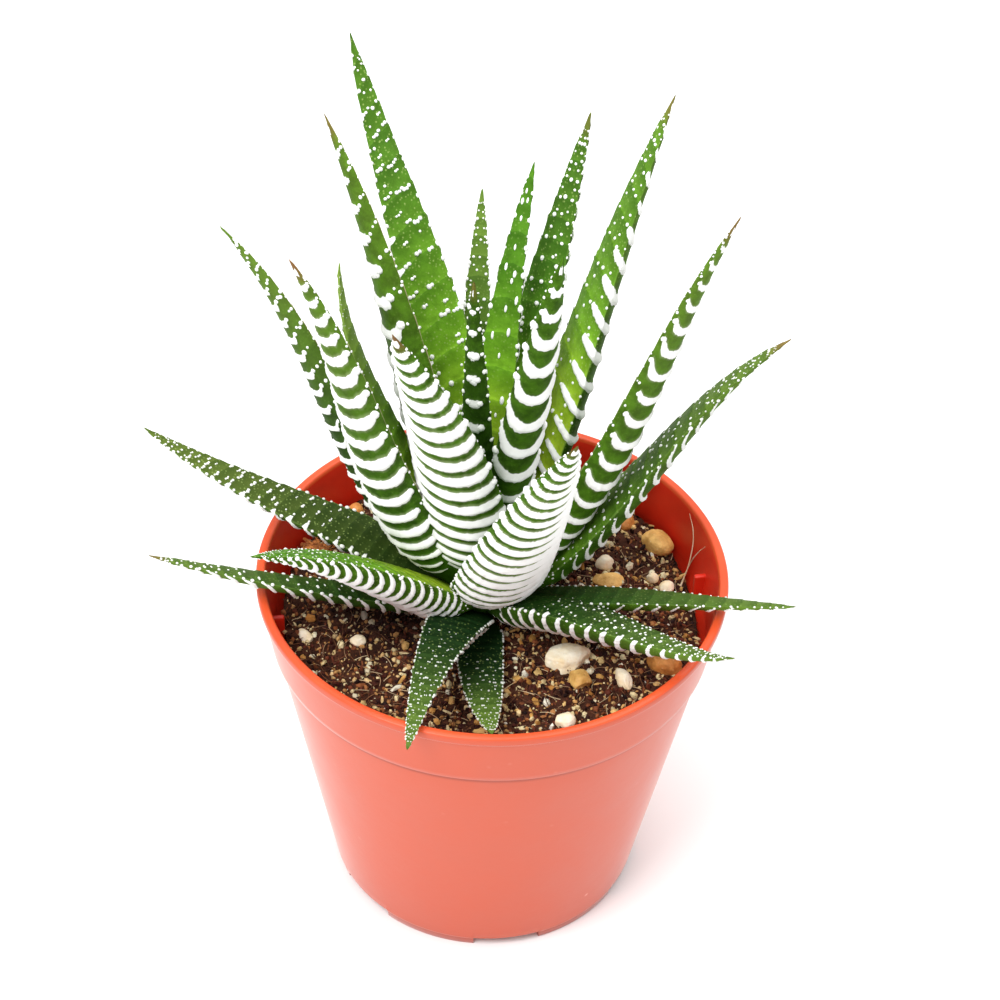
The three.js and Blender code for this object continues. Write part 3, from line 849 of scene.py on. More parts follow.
def uneven(x, y, z, seed):
    """Smooth repeatable unevenness between -1 and 1."""
    a = math.sin(1.9 * x + 0.7 * y + 1.3 * z + seed)
    b = math.sin(-1.1 * x + 2.3 * y - 0.9 * z + 2.1 * seed)
    c = math.sin(0.6 * x - 1.7 * y + 2.6 * z + 3.7 * seed)
    return (a + b + c) / 3


# ---------------------------------------------------------------- leaves


def leaf_facts(name):
    """How a leaf grows, and its looks over the plain ones."""
    keys = "turn sway lean length width root roll full".split()
    return {**PLAIN, **dict(zip(keys, GROWTH[name])), **LOOKS.get(name, {})}


def midrib(leaf):
    """Places and directions along the leaf's middle line, at RIB_STEPS + 1 points."""
    t = np.linspace(0, 1, RIB_STEPS + 1)
    turn = np.radians(leaf["turn"] + leaf["sway"] * t)
    root, middle, tip = leaf["lean"]
    back = 1 - t
    lean = root * back * (1 - 2 * t) + 4 * middle * t * back + tip * t * (2 * t - 1)
    lean = np.radians(lean)[:, None]
    out = np.stack([np.cos(turn), np.sin(turn), np.zeros_like(t)], 1)
    up = np.array([0.0, 0.0, 1.0])
    along = np.sin(lean) * out + np.cos(lean) * up
    inner = -np.cos(lean) * out + np.sin(lean) * up
    roll = (math.radians(leaf["roll"]) * np.minimum(1, 0.4 + t / 0.3))[:, None]
    inner = inner * np.cos(roll) + np.cross(along, inner) * np.sin(roll)
    side = np.cross(inner, along)
    first = math.radians(leaf["turn"])
    start = np.array([
        STEM["x"] + STEM["root_radius"] * math.cos(first),
        STEM["y"] + STEM["root_radius"] * math.sin(first),
        leaf["root"],
    ])
    steps = along[:-1] * (leaf["length"] / RIB_STEPS)
    at = np.vstack([start, start + np.cumsum(steps, 0)])
    return {"t": t, "at": at, "side": side, "inner": inner, "along": along}


def along_rib(rib, key, t):
    """Places or directions of the midrib at t."""
    t = np.clip(t, 0, 1)
    value = np.stack([np.interp(t, rib["t"], rib[key][:, i]) for i in range(3)], 1)
    if key == "at":
        return value
    return value / np.linalg.norm(value, axis=1, keepdims=True)


def leaf_section(leaf, t):
    """Half width, depth of the back and swell of the inner face."""
    t = np.clip(t, 0, 1)
    outline = (0.5 + 0.5 * smoothstep(t / ROOT_RUN)) * (1 - t ** leaf["full"])
    width = TIP_WIDTH + (leaf["width"] - TIP_WIDTH) * outline
    taper = 0.1 + 0.9 * np.sqrt(np.clip((1 - t) / TIP_RUN, 0, 1))
    depth = np.maximum(LEAST_DEPTH, width * BACK_DEPTH)
    return width * taper / 2, depth * taper, width * taper * INNER_SWELL


def leaf_point(leaf, rib, t, r):
    """Points on a leaf: t along it, r round it (0 keel, 1 and -1 margins, 2 inner middle)."""
    q = np.abs(r)
    phi = np.minimum(q, 1) * math.pi / 2
    half, depth, crown = leaf_section(leaf, t)
    across = np.where(q <= 1, np.sin(phi), 2 - q) * np.sign(r)
    lift = np.where(q <= 1, -depth * np.cos(phi) ** BACK_CURVE, crown * (1 - across**2))
    at = along_rib(rib, "at", t)
    side = along_rib(rib, "side", t)
    inner = along_rib(rib, "inner", t)
    return at + side * (across * half)[:, None] + inner * lift[:, None]


def leaf_normal(leaf, rib, t, r):
    """Outward directions at points on a leaf, from its slopes round it and along it."""
    round_step, long_step = 0.02, 0.004
    q = np.clip(np.abs(r), round_step, 2 - round_step)
    s = np.where(r < 0, -1.0, 1.0)

    def slope(q_step, t_step):
        after = leaf_point(leaf, rib, t + t_step, (q + q_step) * s)
        return after - leaf_point(leaf, rib, t - t_step, (q - q_step) * s)

    normal = np.cross(slope(round_step, 0), slope(0, long_step))
    normal /= np.maximum(np.linalg.norm(normal, axis=1, keepdims=True), 1e-9)
    middle = along_rib(rib, "at", t) - along_rib(rib, "inner", t) * 0.4
    outward = leaf_point(leaf, rib, t, r) - middle
    flip = np.sign(np.sum(normal * outward, axis=1, keepdims=True))
    return normal * np.where(flip == 0, 1, flip)


class Banding:
    """Where the bands, dots and teeth of one leaf sit."""

    def __init__(self, leaf, draw):
        self.leaf = leaf
        self.draw = draw
        self.count = count = leaf["bands"]
        # The bands stand closest at the root and widest apart past the middle.
        s = np.linspace(0, 1, count)
        share = (0.5 * s + 0.125 * s * s + 0.175 * (1 - np.cos(math.pi * s))) / 0.975
        self.places = BAND_FIRST + (BAND_LAST - BAND_FIRST) * share
        # Three spacings are added at each end, for what lies beyond the bands.
        before = self.places[0] - 3 * (self.places[1] - self.places[0])
        after = self.places[-1] + 3 * (self.places[-1] - self.places[-2])
        self.knots = np.concatenate([[before], self.places, [after]])
        self.numbers = np.concatenate([[-3], np.arange(count), [count + 2]])
        wane_from, wane_by = leaf["wane"]
        fade = 1 - wane_by * smoothstep((self.places - wane_from) / 0.35)
        start = 0.75 + 0.25 * smoothstep(np.arange(count) / 3.0)
        spread = 1 + END_JITTER * draw.standard_normal((2, count))
        self.ends = np.array(leaf["reach"])[:, None] * spread * fade * start
        cover = leaf["cover"] * (1 + COVER_JITTER * draw.standard_normal(count))
        cover *= 0.45 + 0.55 * smoothstep((np.arange(count) + 0.6) / 4.0)
        self.cover = cover * (1 - 0.2 * smoothstep((self.places - 0.7) / 0.3))

    def run(self, q, side):
        """How far towards the tip a band has run at q round the leaf, in spacings."""
        leaf = self.leaf
        reach = np.array(leaf["reach"])[side]
        hook = np.array(leaf["hook"])[side]
        rise = np.where(q < 1, q**2.1, 1 + 0.12 * (q - 1))
        across = np.where(q < 1, q**1.7, 2 - q) * (1 - 2 * np.asarray(side))
        turn_up = hook * np.minimum(q / reach, 1.0) ** 4
        return leaf["curl"] * rise + turn_up - leaf["skew"] * across

    def number(self, t, q, side):
        """The band, as a broken number, at t along the leaf and q round it."""
        return np.interp(t, self.knots, self.numbers) - self.run(q, side)

    def place(self, number, q, side):
        """How far along the leaf a band is at q round it."""
        return float(np.interp(number + self.run(np.float64(q), side), self.numbers, self.knots))

    def steepness(self, t, q, side):
        """How much wider along the leaf a band is where it runs at a slant."""
        slope = (self.run(q + 0.02, side) - self.run(np.maximum(q - 0.02, 0), side)) / 0.04
        pitch = np.interp(t, self.places, np.gradient(self.places)) * self.leaf["length"]
        arc = np.where(q < 1, 1.25, 1.0) * leaf_section(self.leaf, t)[0]
        return np.clip(np.sqrt(1 + (slope * pitch / arc) ** 2), 1, 2.4)

    def pitch(self, k):
        """Spacing of the bands at band k."""
        k = min(max(k, 1), self.count - 1)
        return (self.places[k] - self.places[k - 1]) * self.leaf["length"]

    def dots(self):
        """t, r, radius and stretch of every dot and tooth."""
        leaf, draw = self.leaf, self.draw
        found = []
        for k in range(self.count):
            for side, sign in ((0, 1), (1, -1)):
                self.end_dots(found, k, side, sign)
                for half in (0.0, 0.5):
                    if draw.random() < TOOTH_CHANCE:
                        t = self.place(k + half + draw.normal(0, 0.05), 1.0, side)
                        radius = leaf["teeth"] * draw.uniform(0.6, 1.15) * (1.1 - 0.5 * t)
                        found.append((t, sign * draw.uniform(0.96, 1.03), radius, 1.15))
            self.row_dots(found, k, leaf["rows"], 1.0)
            self.row_dots(found, k + 0.5, leaf["rows"] - 1, 0.75)
        table = np.array(found)
        return table[(table[:, 0] > 0.06) & (table[:, 0] < BAND_LAST)]

    def end_dots(self, found, k, side, sign):
        """A rounded end for the band, then the dots that carry on in its line."""
        leaf, draw = self.leaf, self.draw
        end = self.ends[side, k]
        radius = 0.5 * self.cover[k] * self.pitch(k)
        if end < 0.97 and k > 1:
            t = self.place(k, end * 0.96, side)
            found.append((t, sign * end * 0.96, min(0.85, radius * draw.uniform(0.6, 0.78)), 1.0))
        step = 2.2 * leaf["dot"] / max(2.0, 0.55 * leaf["width"])
        q = end + step * 1.8
        while q < 0.95:
            if draw.random() < leaf["chips"]:
                t = self.place(k + draw.normal(0, 0.07), q, side)
                found.append((t, sign * q, leaf["dot"] * draw.uniform(0.6, 1.05), 1.1))
            q += step * draw.uniform(1.3, 2.2)

    def row_dots(self, found, k, count, grow):
        """Dots across the inner face, in line with band k."""
        leaf, draw = self.leaf, self.draw
        for i in range(count):
            x = (i + 0.5) / count * 2 - 1 + draw.normal(0, 0.11)
            x = min(0.86, max(-0.86, x * 0.9))
            shift = draw.normal(0, 0.1)
            t = self.place(k + shift, 2 - abs(x), 0 if x > 0 else 1)
            if t < leaf["bare"] or draw.random() < GAP_CHANCE:
                continue
            swell = smoothstep((t - leaf["bare"]) / 0.25)
            radius = leaf["dot"] * grow * (0.6 + 0.5 * swell) * (1.15 - 0.5 * t)
            half = float(leaf_section(leaf, t)[0])
            radius = min(radius, 0.24 * half)
            together = int(draw.integers(1, leaf["group"] + 1)) if t < 0.86 else 1
            for g in range(together):
                off = g - (together - 1) / 2
                at = x + 1.5 * radius * off / half
                side = 0 if at > 0 else 1
                if abs(at) < 0.92:
                    up = 0.5 * radius * off * off / leaf["length"]
                    t = self.place(k + shift, 2 - abs(at), side) + up
                    r = (2 - abs(at)) * (1 - 2 * side)
                    size = radius * draw.uniform(0.75, 1.1)
                    found.append((t, r, size, leaf["dash"] * draw.uniform(0.85, 1.15)))


def leaf_mesh(name, seed):
    """Closed leaf surface with what its bands need, and a loose point for each dot."""
    leaf = leaf_facts(name)
    rib = midrib(leaf)
    banding = Banding(leaf, np.random.default_rng(seed * 1000 + int(name[-2:])))
    rows = int(leaf["length"] / LEAF_STEP)
    t = np.linspace(0, 1, rows)
    back = max(16, int(1.35 * leaf["width"] / LEAF_STEP))
    inner = max(6, int(0.5 * leaf["width"] / LEAF_STEP))
    r = np.concatenate([
        np.linspace(-1, 1, back + 1),
        1 + np.arange(1, inner + 1) / inner,
        -2 + np.arange(1, inner) / inner,
    ])
    columns = len(r)
    tt = np.repeat(t, columns)
    rr = np.tile(r, rows)
    qq = np.abs(rr)
    points = leaf_point(leaf, rib, tt, rr)
    side = np.where(rr >= 0, 0, 1)
    band = banding.number(tt, qq, side)
    near = np.clip(np.rint(band), 0, banding.count - 1).astype(int)
    merge = np.array(leaf["merge"])[side]
    width = banding.cover[near] * (1 + merge * smoothstep(qq / 0.95))
    slanted = width * banding.steepness(tt, qq, side)
    width = np.minimum(slanted, np.maximum(width, WIDEST_SLANT))
    width = np.where((band < -0.5) | (band > banding.count - 0.5), 0.0, width)

    faces = revolve_faces([columns] * rows, columns)
    faces.append(tuple(range(columns - 1, -1, -1)))
    faces.append(tuple((rows - 1) * columns + j for j in range(columns)))

    bt, br, radius, stretch = banding.dots().T
    flat = np.zeros(len(points))
    spare = np.zeros(len(bt))
    zero = np.zeros((len(points), 3))
    attributes = {
        "along": np.concatenate([tt, bt]),
        "turned": np.concatenate([rr, br]),
        "reach": np.abs(np.concatenate([rr, br])),
        "band": np.concatenate([band, spare]),
        "end": np.concatenate([banding.ends[side, near], spare + 1]),
        "cover": np.concatenate([width, spare]),
        "bead": np.concatenate([flat, radius * MM]),
        "stretch": np.concatenate([flat + 1, stretch]),
        "facing": np.vstack([zero, leaf_normal(leaf, rib, bt, br)]),
        "growing": np.vstack([zero, along_rib(rib, "along", bt)]),
    }
    for key in "tone brown blush stipple pale lift faint blunt deep russet".split():
        attributes[key] = np.full(len(points) + len(bt), leaf[key])
    points = np.vstack([points, leaf_point(leaf, rib, bt, br)])
    return mesh_from(name, points, faces, attributes)


def tubercle_tree():
    """Raises the white bands of a leaf and puts a bead on each marked point."""
    tree, nodes, given, result = geometry_tree(
        "Tubercles",
        [
            ("Band Height", VALUE, 0.55 * MM),
            ("Step Height", VALUE, 0.3 * MM),
            ("Beadiness", VALUE, 0.4),
            ("Seed", WHOLE, 1),
            ("Leaf Material", FINISH, None),
        ],
    )
    band, along, reach, turned = nodes.attributes("band along reach turned")
    end, blunt, cover, radius = nodes.attributes("end blunt cover bead")
    number = nodes.math("ROUND", band)
    away = nodes.math("ABSOLUTE", nodes.minus(band, number))

    # Half width of the band here: it tapers to its ends and its edges swing in and out.
    part = nodes.math("DIVIDE", reach, end)
    taper = nodes.math("SQRT", nodes.minus(1.0, nodes.math("POWER", part, blunt), clamp=True))
    place = {
        "X": nodes.times(turned, 4.6),
        "Y": nodes.times(number, 2.7),
        "Z": nodes.times(given["Seed"], 1.37),
    }
    where = nodes.add("ShaderNodeCombineXYZ", place).outputs[0]
    swing = nodes.minus(nodes.cloud(where, 1.6, 2.0, 0.55), 0.5)
    swing = nodes.times(swing, 2.4, given["Beadiness"])
    half = nodes.times(cover, 0.5, taper)
    half = nodes.times(half, nodes.plus(1.0, swing))
    none = nodes.math("LESS_THAN", half, 0.03)
    half = nodes.math("MAXIMUM", half, 0.02)

    # Height: a dome over the band, a small step from band to band, and fine lumps.
    share = nodes.plus(nodes.math("DIVIDE", away, half), nodes.times(none, 2.0))
    ridge = nodes.math("MAXIMUM", nodes.minus(1.0, share), -2.0)
    dome = nodes.math("POWER", nodes.minus(1.0, nodes.times(share, share), clamp=True), 0.6)
    fade = nodes.minus(1.0, nodes.times(along, along, 0.7))
    thick = nodes.math("MINIMUM", nodes.times(half, 4.5), 1.0)
    rise = nodes.times(dome, fade, thick, given["Band Height"])
    step = nodes.minus(nodes.math("FRACT", band), 0.5)
    step = nodes.times(step, given["Step Height"], fade, nodes.ramp(along, 0.08, 0.25))
    lump = nodes.minus(nodes.cloud(nodes.position(), 260.0, 1.0), 0.5)
    rise = nodes.plus(nodes.plus(rise, step), nodes.times(lump, 0.22 * MM))
    normal = nodes.add("GeometryNodeInputNormal").outputs[0]
    offset = nodes.vector("SCALE", {0: normal, "Scale": rise})[0]

    is_bead = nodes.add("FunctionNodeCompare", {0: radius, 1: 1e-6}, operation="GREATER_THAN")
    apart = nodes.add(
        "GeometryNodeSeparateGeometry",
        {"Geometry": given["Geometry"], "Selection": is_bead.outputs[0]},
        domain="POINT",
    )
    surface = nodes.store(apart.outputs["Inverted"], "ridge", ridge)
    raised = nodes.add("GeometryNodeSetPosition", {"Geometry": surface, "Offset": offset})

    ball = nodes.add("GeometryNodeMeshUVSphere", {"Segments": 8, "Rings": 5, "Radius": 1.0})
    axes = nodes.add(
        "FunctionNodeAxesToRotation",
        {n: nodes.attribute(key, "FLOAT_VECTOR") for n, key in enumerate(("facing", "growing"))},
        primary_axis="Z", secondary_axis="Y",
    )
    size = {
        "X": radius,
        "Y": nodes.times(radius, nodes.attribute("stretch")),
        "Z": nodes.times(radius, 0.75),
    }
    beads = nodes.add(
        "GeometryNodeInstanceOnPoints",
        {
            "Points": apart.outputs["Selection"],
            "Instance": nodes.store(ball.outputs["Mesh"], "ridge", 1.0),
            "Rotation": axes.outputs[0],
            "Scale": nodes.add("ShaderNodeCombineXYZ", size).outputs[0],
        },
    )
    joined = nodes.add("GeometryNodeJoinGeometry")
    for piece in (beads, raised):
        nodes.tree.links.new(piece.outputs[0], joined.inputs[0])
    nodes.end(result, joined.outputs[0], given["Leaf Material"])
    return tree


def leaf_material(settings):
    """Leaf flesh: greens, stains and flecks, painted light and shade, with the white of the bands
    over them.
    """
    material, nodes, shader = new_material("Leaf flesh", 0.45, Specular_IOR_Level=0.04)
    vector = object_coords(nodes)
    reach, along, ridge, band = nodes.attributes("reach along ridge band")
    tone, blush = nodes.attributes("tone blush")
    back = tuple(settings.back)

    # Green of the back, green of the inner face, the leaf's own russet, painted light towards the
    # tip and painted shade towards the root.
    patch = mottled(nodes, vector, 420.0, 0.4, scaled(back, 0.6), scaled(back, 1.35))
    # Painted light: the inner face grows lighter towards its root, scaled by the leaf's tone.
    lit = nodes.times(nodes.ramp(along, 0.8, 0.12, 0.5, 1.25), tone)
    inner_green = colour_ramp(nodes, lit, INNER_GREENS)
    inner_deep = nodes.stain(inner_green, LEAF_TINTS["patch"])
    inner_patch = nodes.mix(patch["Mask"], inner_deep, inner_green)
    green = nodes.mix(nodes.ramp(reach, 0.93, 1.06), patch["Color"], inner_patch)
    # Painted light: lighter towards the tip.
    lift = nodes.times(nodes.attribute("lift"), nodes.ramp(along, 0.25, 0.95))
    green = nodes.mix(lift, green, LEAF_TINTS["lift"])
    rust = nodes.times(nodes.ramp(reach, 0.85, 1.05), nodes.attribute("russet"))
    rust = nodes.times(rust, nodes.ramp(patch["Mask"], 0.0, 1.0, 0.6, 1.0))
    green = nodes.mix(rust, green, LEAF_TINTS["russet"])
    # Painted shade: darker towards the root.
    deep = nodes.times(nodes.ramp(along, 0.95, 0.35, 0.35, 1.0), nodes.attribute("deep"))
    green = nodes.mix(deep, green, LEAF_TINTS["deep"])

    # Painted shadow between the bands, painted shade at the root, a painted glow in the pale gaps,
    # and the margins.
    # Painted shadow under each band: darkest just on its root side.
    shade = nodes.ramp(nodes.math("FRACT", band), 0.1, 0.95)
    shade = nodes.times(
        shade, nodes.ramp(reach, 0.8, 1.1, 0.2, 0.5), nodes.ramp(along, 0.05, 0.2)
    )
    green = nodes.mix(shade, green, nodes.stain(green, LEAF_TINTS["shade"]))
    # Painted shade near the root, darker for dull leaves.
    root_tone = nodes.ramp(tone, 0.1, 0.35)
    root_shade_green = nodes.mix(root_tone, LEAF_TINTS["dull root"], LEAF_TINTS["bright root"])
    green = nodes.mix(nodes.times(nodes.ramp(along, 0.32, 0.0), 0.55), green, root_shade_green)
    # Painted glow: the gaps lighten next to the white bands.
    pale = nodes.times(nodes.ramp(ridge, -0.6, 0.05), nodes.attribute("pale"))
    green = nodes.mix(pale, green, LEAF_TINTS["pale"])
    edge = nodes.ramp(nodes.math("ABSOLUTE", nodes.minus(reach, 1.0)), 0.07, 0.02)
    edge = nodes.times(edge, nodes.plus(0.2, nodes.times(blush, 0.65)))
    edge_colour = nodes.mix(blush, LEAF_TINTS["margin"], LEAF_TINTS["blush"])
    green = nodes.mix(edge, green, edge_colour)

    # Finest specks, the brown tip, and the white.
    specks = flecked(nodes, vector, scale=1700.0, size=0.42, share=0.6)
    specks = nodes.times(
        specks, nodes.attribute("stipple"), nodes.ramp(along, 0.12, 0.3),
        nodes.ramp(reach, 0.7, 1.05, 0.25, 1.0),
    )
    green = nodes.mix(specks, green, LEAF_TINTS["speck"])
    tip = nodes.times(nodes.ramp(along, 0.92, 0.985), nodes.attribute("brown"))
    green = nodes.mix(tip, green, LEAF_TINTS["tip"])
    white = nodes.ramp(ridge, 0.0, 0.16)
    seen = nodes.minus(1.0, nodes.attribute("faint"))
    band_colour = tuple(settings.band)
    tint = mottled(nodes, vector, 500.0, 0.8, scaled(band_colour, 0.88), band_colour)
    colour = nodes.mix(nodes.times(white, seen), green, tint["Color"])
    nodes.feed(shader.inputs["Roughness"], nodes.ramp(white, 0.0, 1.0, 0.55, 0.6))
    clad(nodes, shader, colour, patch["Height"], 0.4, 0.14 * MM)
    return material


# ---------------------------------------------------------------- soil


def inner_wall(z):
    """Inner radius of the pot at a height."""
    if z <= POT["neck_z"] - 1:
        return outer_wall(z) - POT["wall"]
    foot = POT["collar_foot"] - POT["wall"]
    top = POT["rim"] - POT["lip"] - POT["wall"]
    return foot + (z - POT["neck_z"]) / (POT["height"] - POT["neck_z"]) * (top - foot)


def soil_top(x, y):
    """Height of the soil's surface."""
    (dip_x, dip_y), spread = SOIL_DIP_AT, SOIL_DIP_SPREAD
    side = math.exp(-((x - dip_x) ** 2 + (y - dip_y) ** 2) / spread)
    fine = 0.45 * uneven(x * 0.9, y * 0.9, 0, 4) + 0.35 * uneven(x * 0.35, y * 0.35, 0, 9)
    return SOIL_LEVEL + SOIL_SLOPE * y - SOIL_DIP * side + fine


def soil_mesh(seed):
    """The body of soil, closed, with a crumbly top."""
    under = POT["floor_thick"] + FLOOR_GAP
    floor_top = POT["floor_lift"] + POT["floor_thick"]
    edge = inner_wall(SOIL_LEVEL) - WALL_GAP
    profile = [
        (0, under),
        (POT["pad"] - 1, under),
        (POT["pad"], floor_top + FLOOR_GAP),
        (inner_wall(floor_top) - WALL_GAP, floor_top + FLOOR_GAP),
        (inner_wall(40) - WALL_GAP, 40),
        (inner_wall(55.5) - WALL_GAP, 53.5),
    ]
    top_start = len(profile)
    profile += [(edge * i / SOIL_RINGS, SOIL_LEVEL) for i in range(SOIL_RINGS, 0, -1)]
    profile += [(0, SOIL_LEVEL)]
    counts = [SOIL_SEGMENTS if radius else 1 for radius, _ in profile]
    points, tops = [], []
    shift = Vector((seed * 7.1, seed * 3.3, 0))
    for k, ((radius, z), count) in enumerate(zip(profile, counts)):
        for i in range(count):
            turn = 2 * math.pi * i / SOIL_SEGMENTS
            x, y = radius * math.cos(turn), radius * math.sin(turn)
            height = z
            if k >= top_start:
                rough = noise.fractal(Vector((x * 0.9, y * 0.9, 0)) + shift, 0.7, 2.1, 4)
                height = soil_top(x, y) + (SOIL_CRUMBLE * rough - 0.1)
                limit = inner_wall(min(height, POT["neck_z"] - 1.2)) - WALL_GAP
                if radius > limit:
                    x, y = x * limit / radius, y * limit / radius
            points.append((x, y, height))
            tops.append(float(k > top_start))
    faces = revolve_faces(counts, SOIL_SEGMENTS)
    return mesh_from("soil_ground", points, faces, {"top": tops})


def scatter(nodes, given, shapes, turns, size):
    """Lays one of the shapes on each of many points of the surface marked top.

    turns holds the least and the greatest turn, and size is each bit's scale.
    """
    spread = nodes.add(
        "GeometryNodeDistributePointsOnFaces",
        {
            "Mesh": given["Geometry"],
            "Distance Min": given["Spacing"],
            "Density Max": 4.0e6,
            "Density Factor": nodes.attribute("top"),
            "Seed": given["Seed"],
        },
        distribute_method="POISSON",
    )
    choice = nodes.add("GeometryNodeGeometryToInstance")
    for shape in shapes:
        nodes.tree.links.new(shape, choice.inputs[0])
    bits = nodes.add(
        "GeometryNodeInstanceOnPoints",
        {
            "Points": spread.outputs["Points"],
            "Instance": choice.outputs[0],
            "Pick Instance": True,
            "Rotation": nodes.random(*turns, nodes.plus(given["Seed"], 3.0), "FLOAT_VECTOR"),
            "Scale": size,
        },
    )
    tint = nodes.random(0.0, 1.0, nodes.plus(given["Seed"], 9.0))
    return nodes.store(bits.outputs[0], "tint", tint, "INSTANCE")


def scatter_tree(name):
    """Scatters rough bits over the surface marked top, half sunk in it."""
    tree, nodes, given, result = geometry_tree(
        name,
        [
            ("Spacing", VALUE, 0.8 * MM),
            ("Radius", VALUE, 0.6 * MM),
            ("Least", VALUE, 0.5),
            ("Fineness", WHOLE, 1),
            ("Seed", WHOLE, 1),
            ("Bit Material", FINISH, None),
        ],
    )
    shapes = []
    for i, stretch in enumerate(BIT_SHAPES):
        ball = nodes.add(
            "GeometryNodeMeshIcoSphere", {"Radius": 1.0, "Subdivisions": given["Fineness"]}
        )
        place = nodes.position()
        apart = nodes.vector("ADD", {0: place, 1: (7.3 * i, 2.1 * i, 4.7)})[0]
        push = nodes.plus(0.45, nodes.times(nodes.cloud(apart, 1.3, 2.0, 0.7), 1.1))
        grown = nodes.vector("SCALE", {0: place, "Scale": push})[0]
        shaped = nodes.vector("MULTIPLY", {0: grown, 1: stretch})[0]
        inputs = {"Geometry": ball.outputs["Mesh"], "Position": shaped}
        shapes.append(nodes.add("GeometryNodeSetPosition", inputs).outputs[0])
    draw = nodes.random(given["Least"], 1.0, nodes.plus(given["Seed"], 5.0))
    size = nodes.times(nodes.math("POWER", draw, 2.2), given["Radius"])
    turns = ((0.0, 0.0, 0.0), (FULL_TURN, FULL_TURN, FULL_TURN))
    bits = scatter(nodes, given, shapes, turns, size)
    nodes.end(result, bits, given["Bit Material"], smooth=False)
    return tree


def fibre_tree():
    """Lays thin curved fibres on the surface marked top."""
    tree, nodes, given, result = geometry_tree(
        "Fibres",
        [
            ("Spacing", VALUE, 3.0 * MM),
            ("Length", VALUE, 6.0 * MM),
            ("Thickness", VALUE, 0.07 * MM),
            ("Seed", WHOLE, 1),
            ("Fibre Material", FINISH, None),
        ],
    )
    shapes = []
    thickness = nodes.math("DIVIDE", given["Thickness"], given["Length"])
    for bend in FIBRE_BENDS:
        arc = nodes.add(
            "GeometryNodeCurveQuadraticBezier",
            {
                "Resolution": 7,
                "Start": (-0.5, 0.0, 0.0),
                "Middle": (0.05, bend, 0.16),
                "End": (0.5, 0.1 * bend, 0.02),
            },
        )
        ring = nodes.add(
            "GeometryNodeCurvePrimitiveCircle", {"Resolution": 4, "Radius": thickness}
        )
        inputs = {"Curve": arc.outputs[0], "Profile Curve": ring.outputs[0], "Fill Caps": True}
        shapes.append(nodes.add("GeometryNodeCurveToMesh", inputs).outputs[0])
    draw = nodes.random(0.4, 1.0, nodes.plus(given["Seed"], 5.0))
    size = nodes.times(draw, given["Length"])
    turns = ((-FIBRE_TILT, -FIBRE_TILT, 0.0), (FIBRE_TILT, FIBRE_TILT, FULL_TURN))
    bits = scatter(nodes, given, shapes, turns, size)
    nodes.end(result, bits, given["Fibre Material"])
    return tree


def peat_material(settings):
    peat = tuple(settings.peat)
    material, nodes, shader = new_material("Peat with painted shadow", 0.8, Specular_IOR_Level=0.15)
    vector = object_coords(nodes)
    patch = mottled(nodes, vector, 420.0, 0.35, peat, scaled(peat, 2.6))
    flecks = nodes.times(flecked(nodes, vector, scale=900.0, size=0.35, share=0.16), 0.6)
    colour = nodes.mix(flecks, patch["Color"], (0.34, 0.22, 0.12))
    # The peat carries painted shadow under the lowest leaves.
    clad(nodes, shader, painted_leaf_shadow(nodes, vector, colour), patch["Height"], 0.9, 0.4 * MM)
    return material


def painted_leaf_shadow(nodes, vector, colour):
    """Darkens the soil under the lowest leaves with painted shadow."""
    away = nodes.vector("DISTANCE", {0: vector, 1: LEAF_SHADOW_AT})["Value"]
    shadow_share = nodes.ramp(away, LEAF_SHADOW_FAR, LEAF_SHADOW_NEAR, 0.0, 0.85)
    return nodes.mix(shadow_share, colour, nodes.stain(colour, (0.26, 0.2, 0.2)))


def bit_material(name, stops, roughness, scale):
    """Bits whose colour follows their own tint."""
    material, nodes, shader = new_material(name, roughness, Specular_IOR_Level=0.2)
    vector = object_coords(nodes)
    colour = colour_ramp(nodes, nodes.attribute("tint"), stops)
    deep = nodes.stain(colour, (0.02, 0.01, 0.005), 0.5)
    patch = mottled(nodes, vector, scale, 0.5, deep, colour)
    # The bits carry the same painted shadow under the lowest leaves.
    shadowed = painted_leaf_shadow(nodes, vector, patch["Color"])
    clad(nodes, shader, shadowed, patch["Height"], 0.5, 0.15 * MM)
    return material


# ---------------------------------------------------------------- stones and bark


def stone_mesh(name, fineness):
    """A pebble of the frame's size, with worn facets."""
    (x, y), (length, width, height), turn, _, angular = STONES[name]
    ball = bmesh.new()
    bmesh.ops.create_icosphere(ball, subdivisions=fineness, radius=1)
    draw = random.Random(name)
    cuts = []
    for _ in range(int(4 + 6 * angular)):
        way = Vector((draw.gauss(0, 1), draw.gauss(0, 1), draw.gauss(0, 0.7))).normalized()
        cuts.append((way, draw.uniform(0.72, 0.93)))
    shift = Vector((length, width, x))
    for vert in ball.verts:
        v = vert.co.copy()
        v *= 1 + 0.13 * uneven(v.x * 1.4, v.y * 1.4, v.z * 1.4, length + x)
        for way, limit in cuts:
            over = v.dot(way) - limit
            if over > 0:
                v -= way * over * 0.85 * min(1, angular + 0.2)
        v *= 1 + 0.045 * noise.fractal(v * 2.2 + shift, 0.8, 2.0, 4)
        vert.co = v
    grow = Matrix.Diagonal((length / 2 * MM, width / 2 * MM, height / 2 * MM, 1))
    spin = Matrix.Rotation(math.radians(turn), 4, "Z")
    move = Matrix.Translation(Vector((x, y, soil_top(x, y) + height * STONE_RISE)) * MM)
    ball.transform(move @ spin @ grow)
    mesh = mesh_of(ball, name)
    shade_smooth(mesh)
    return mesh


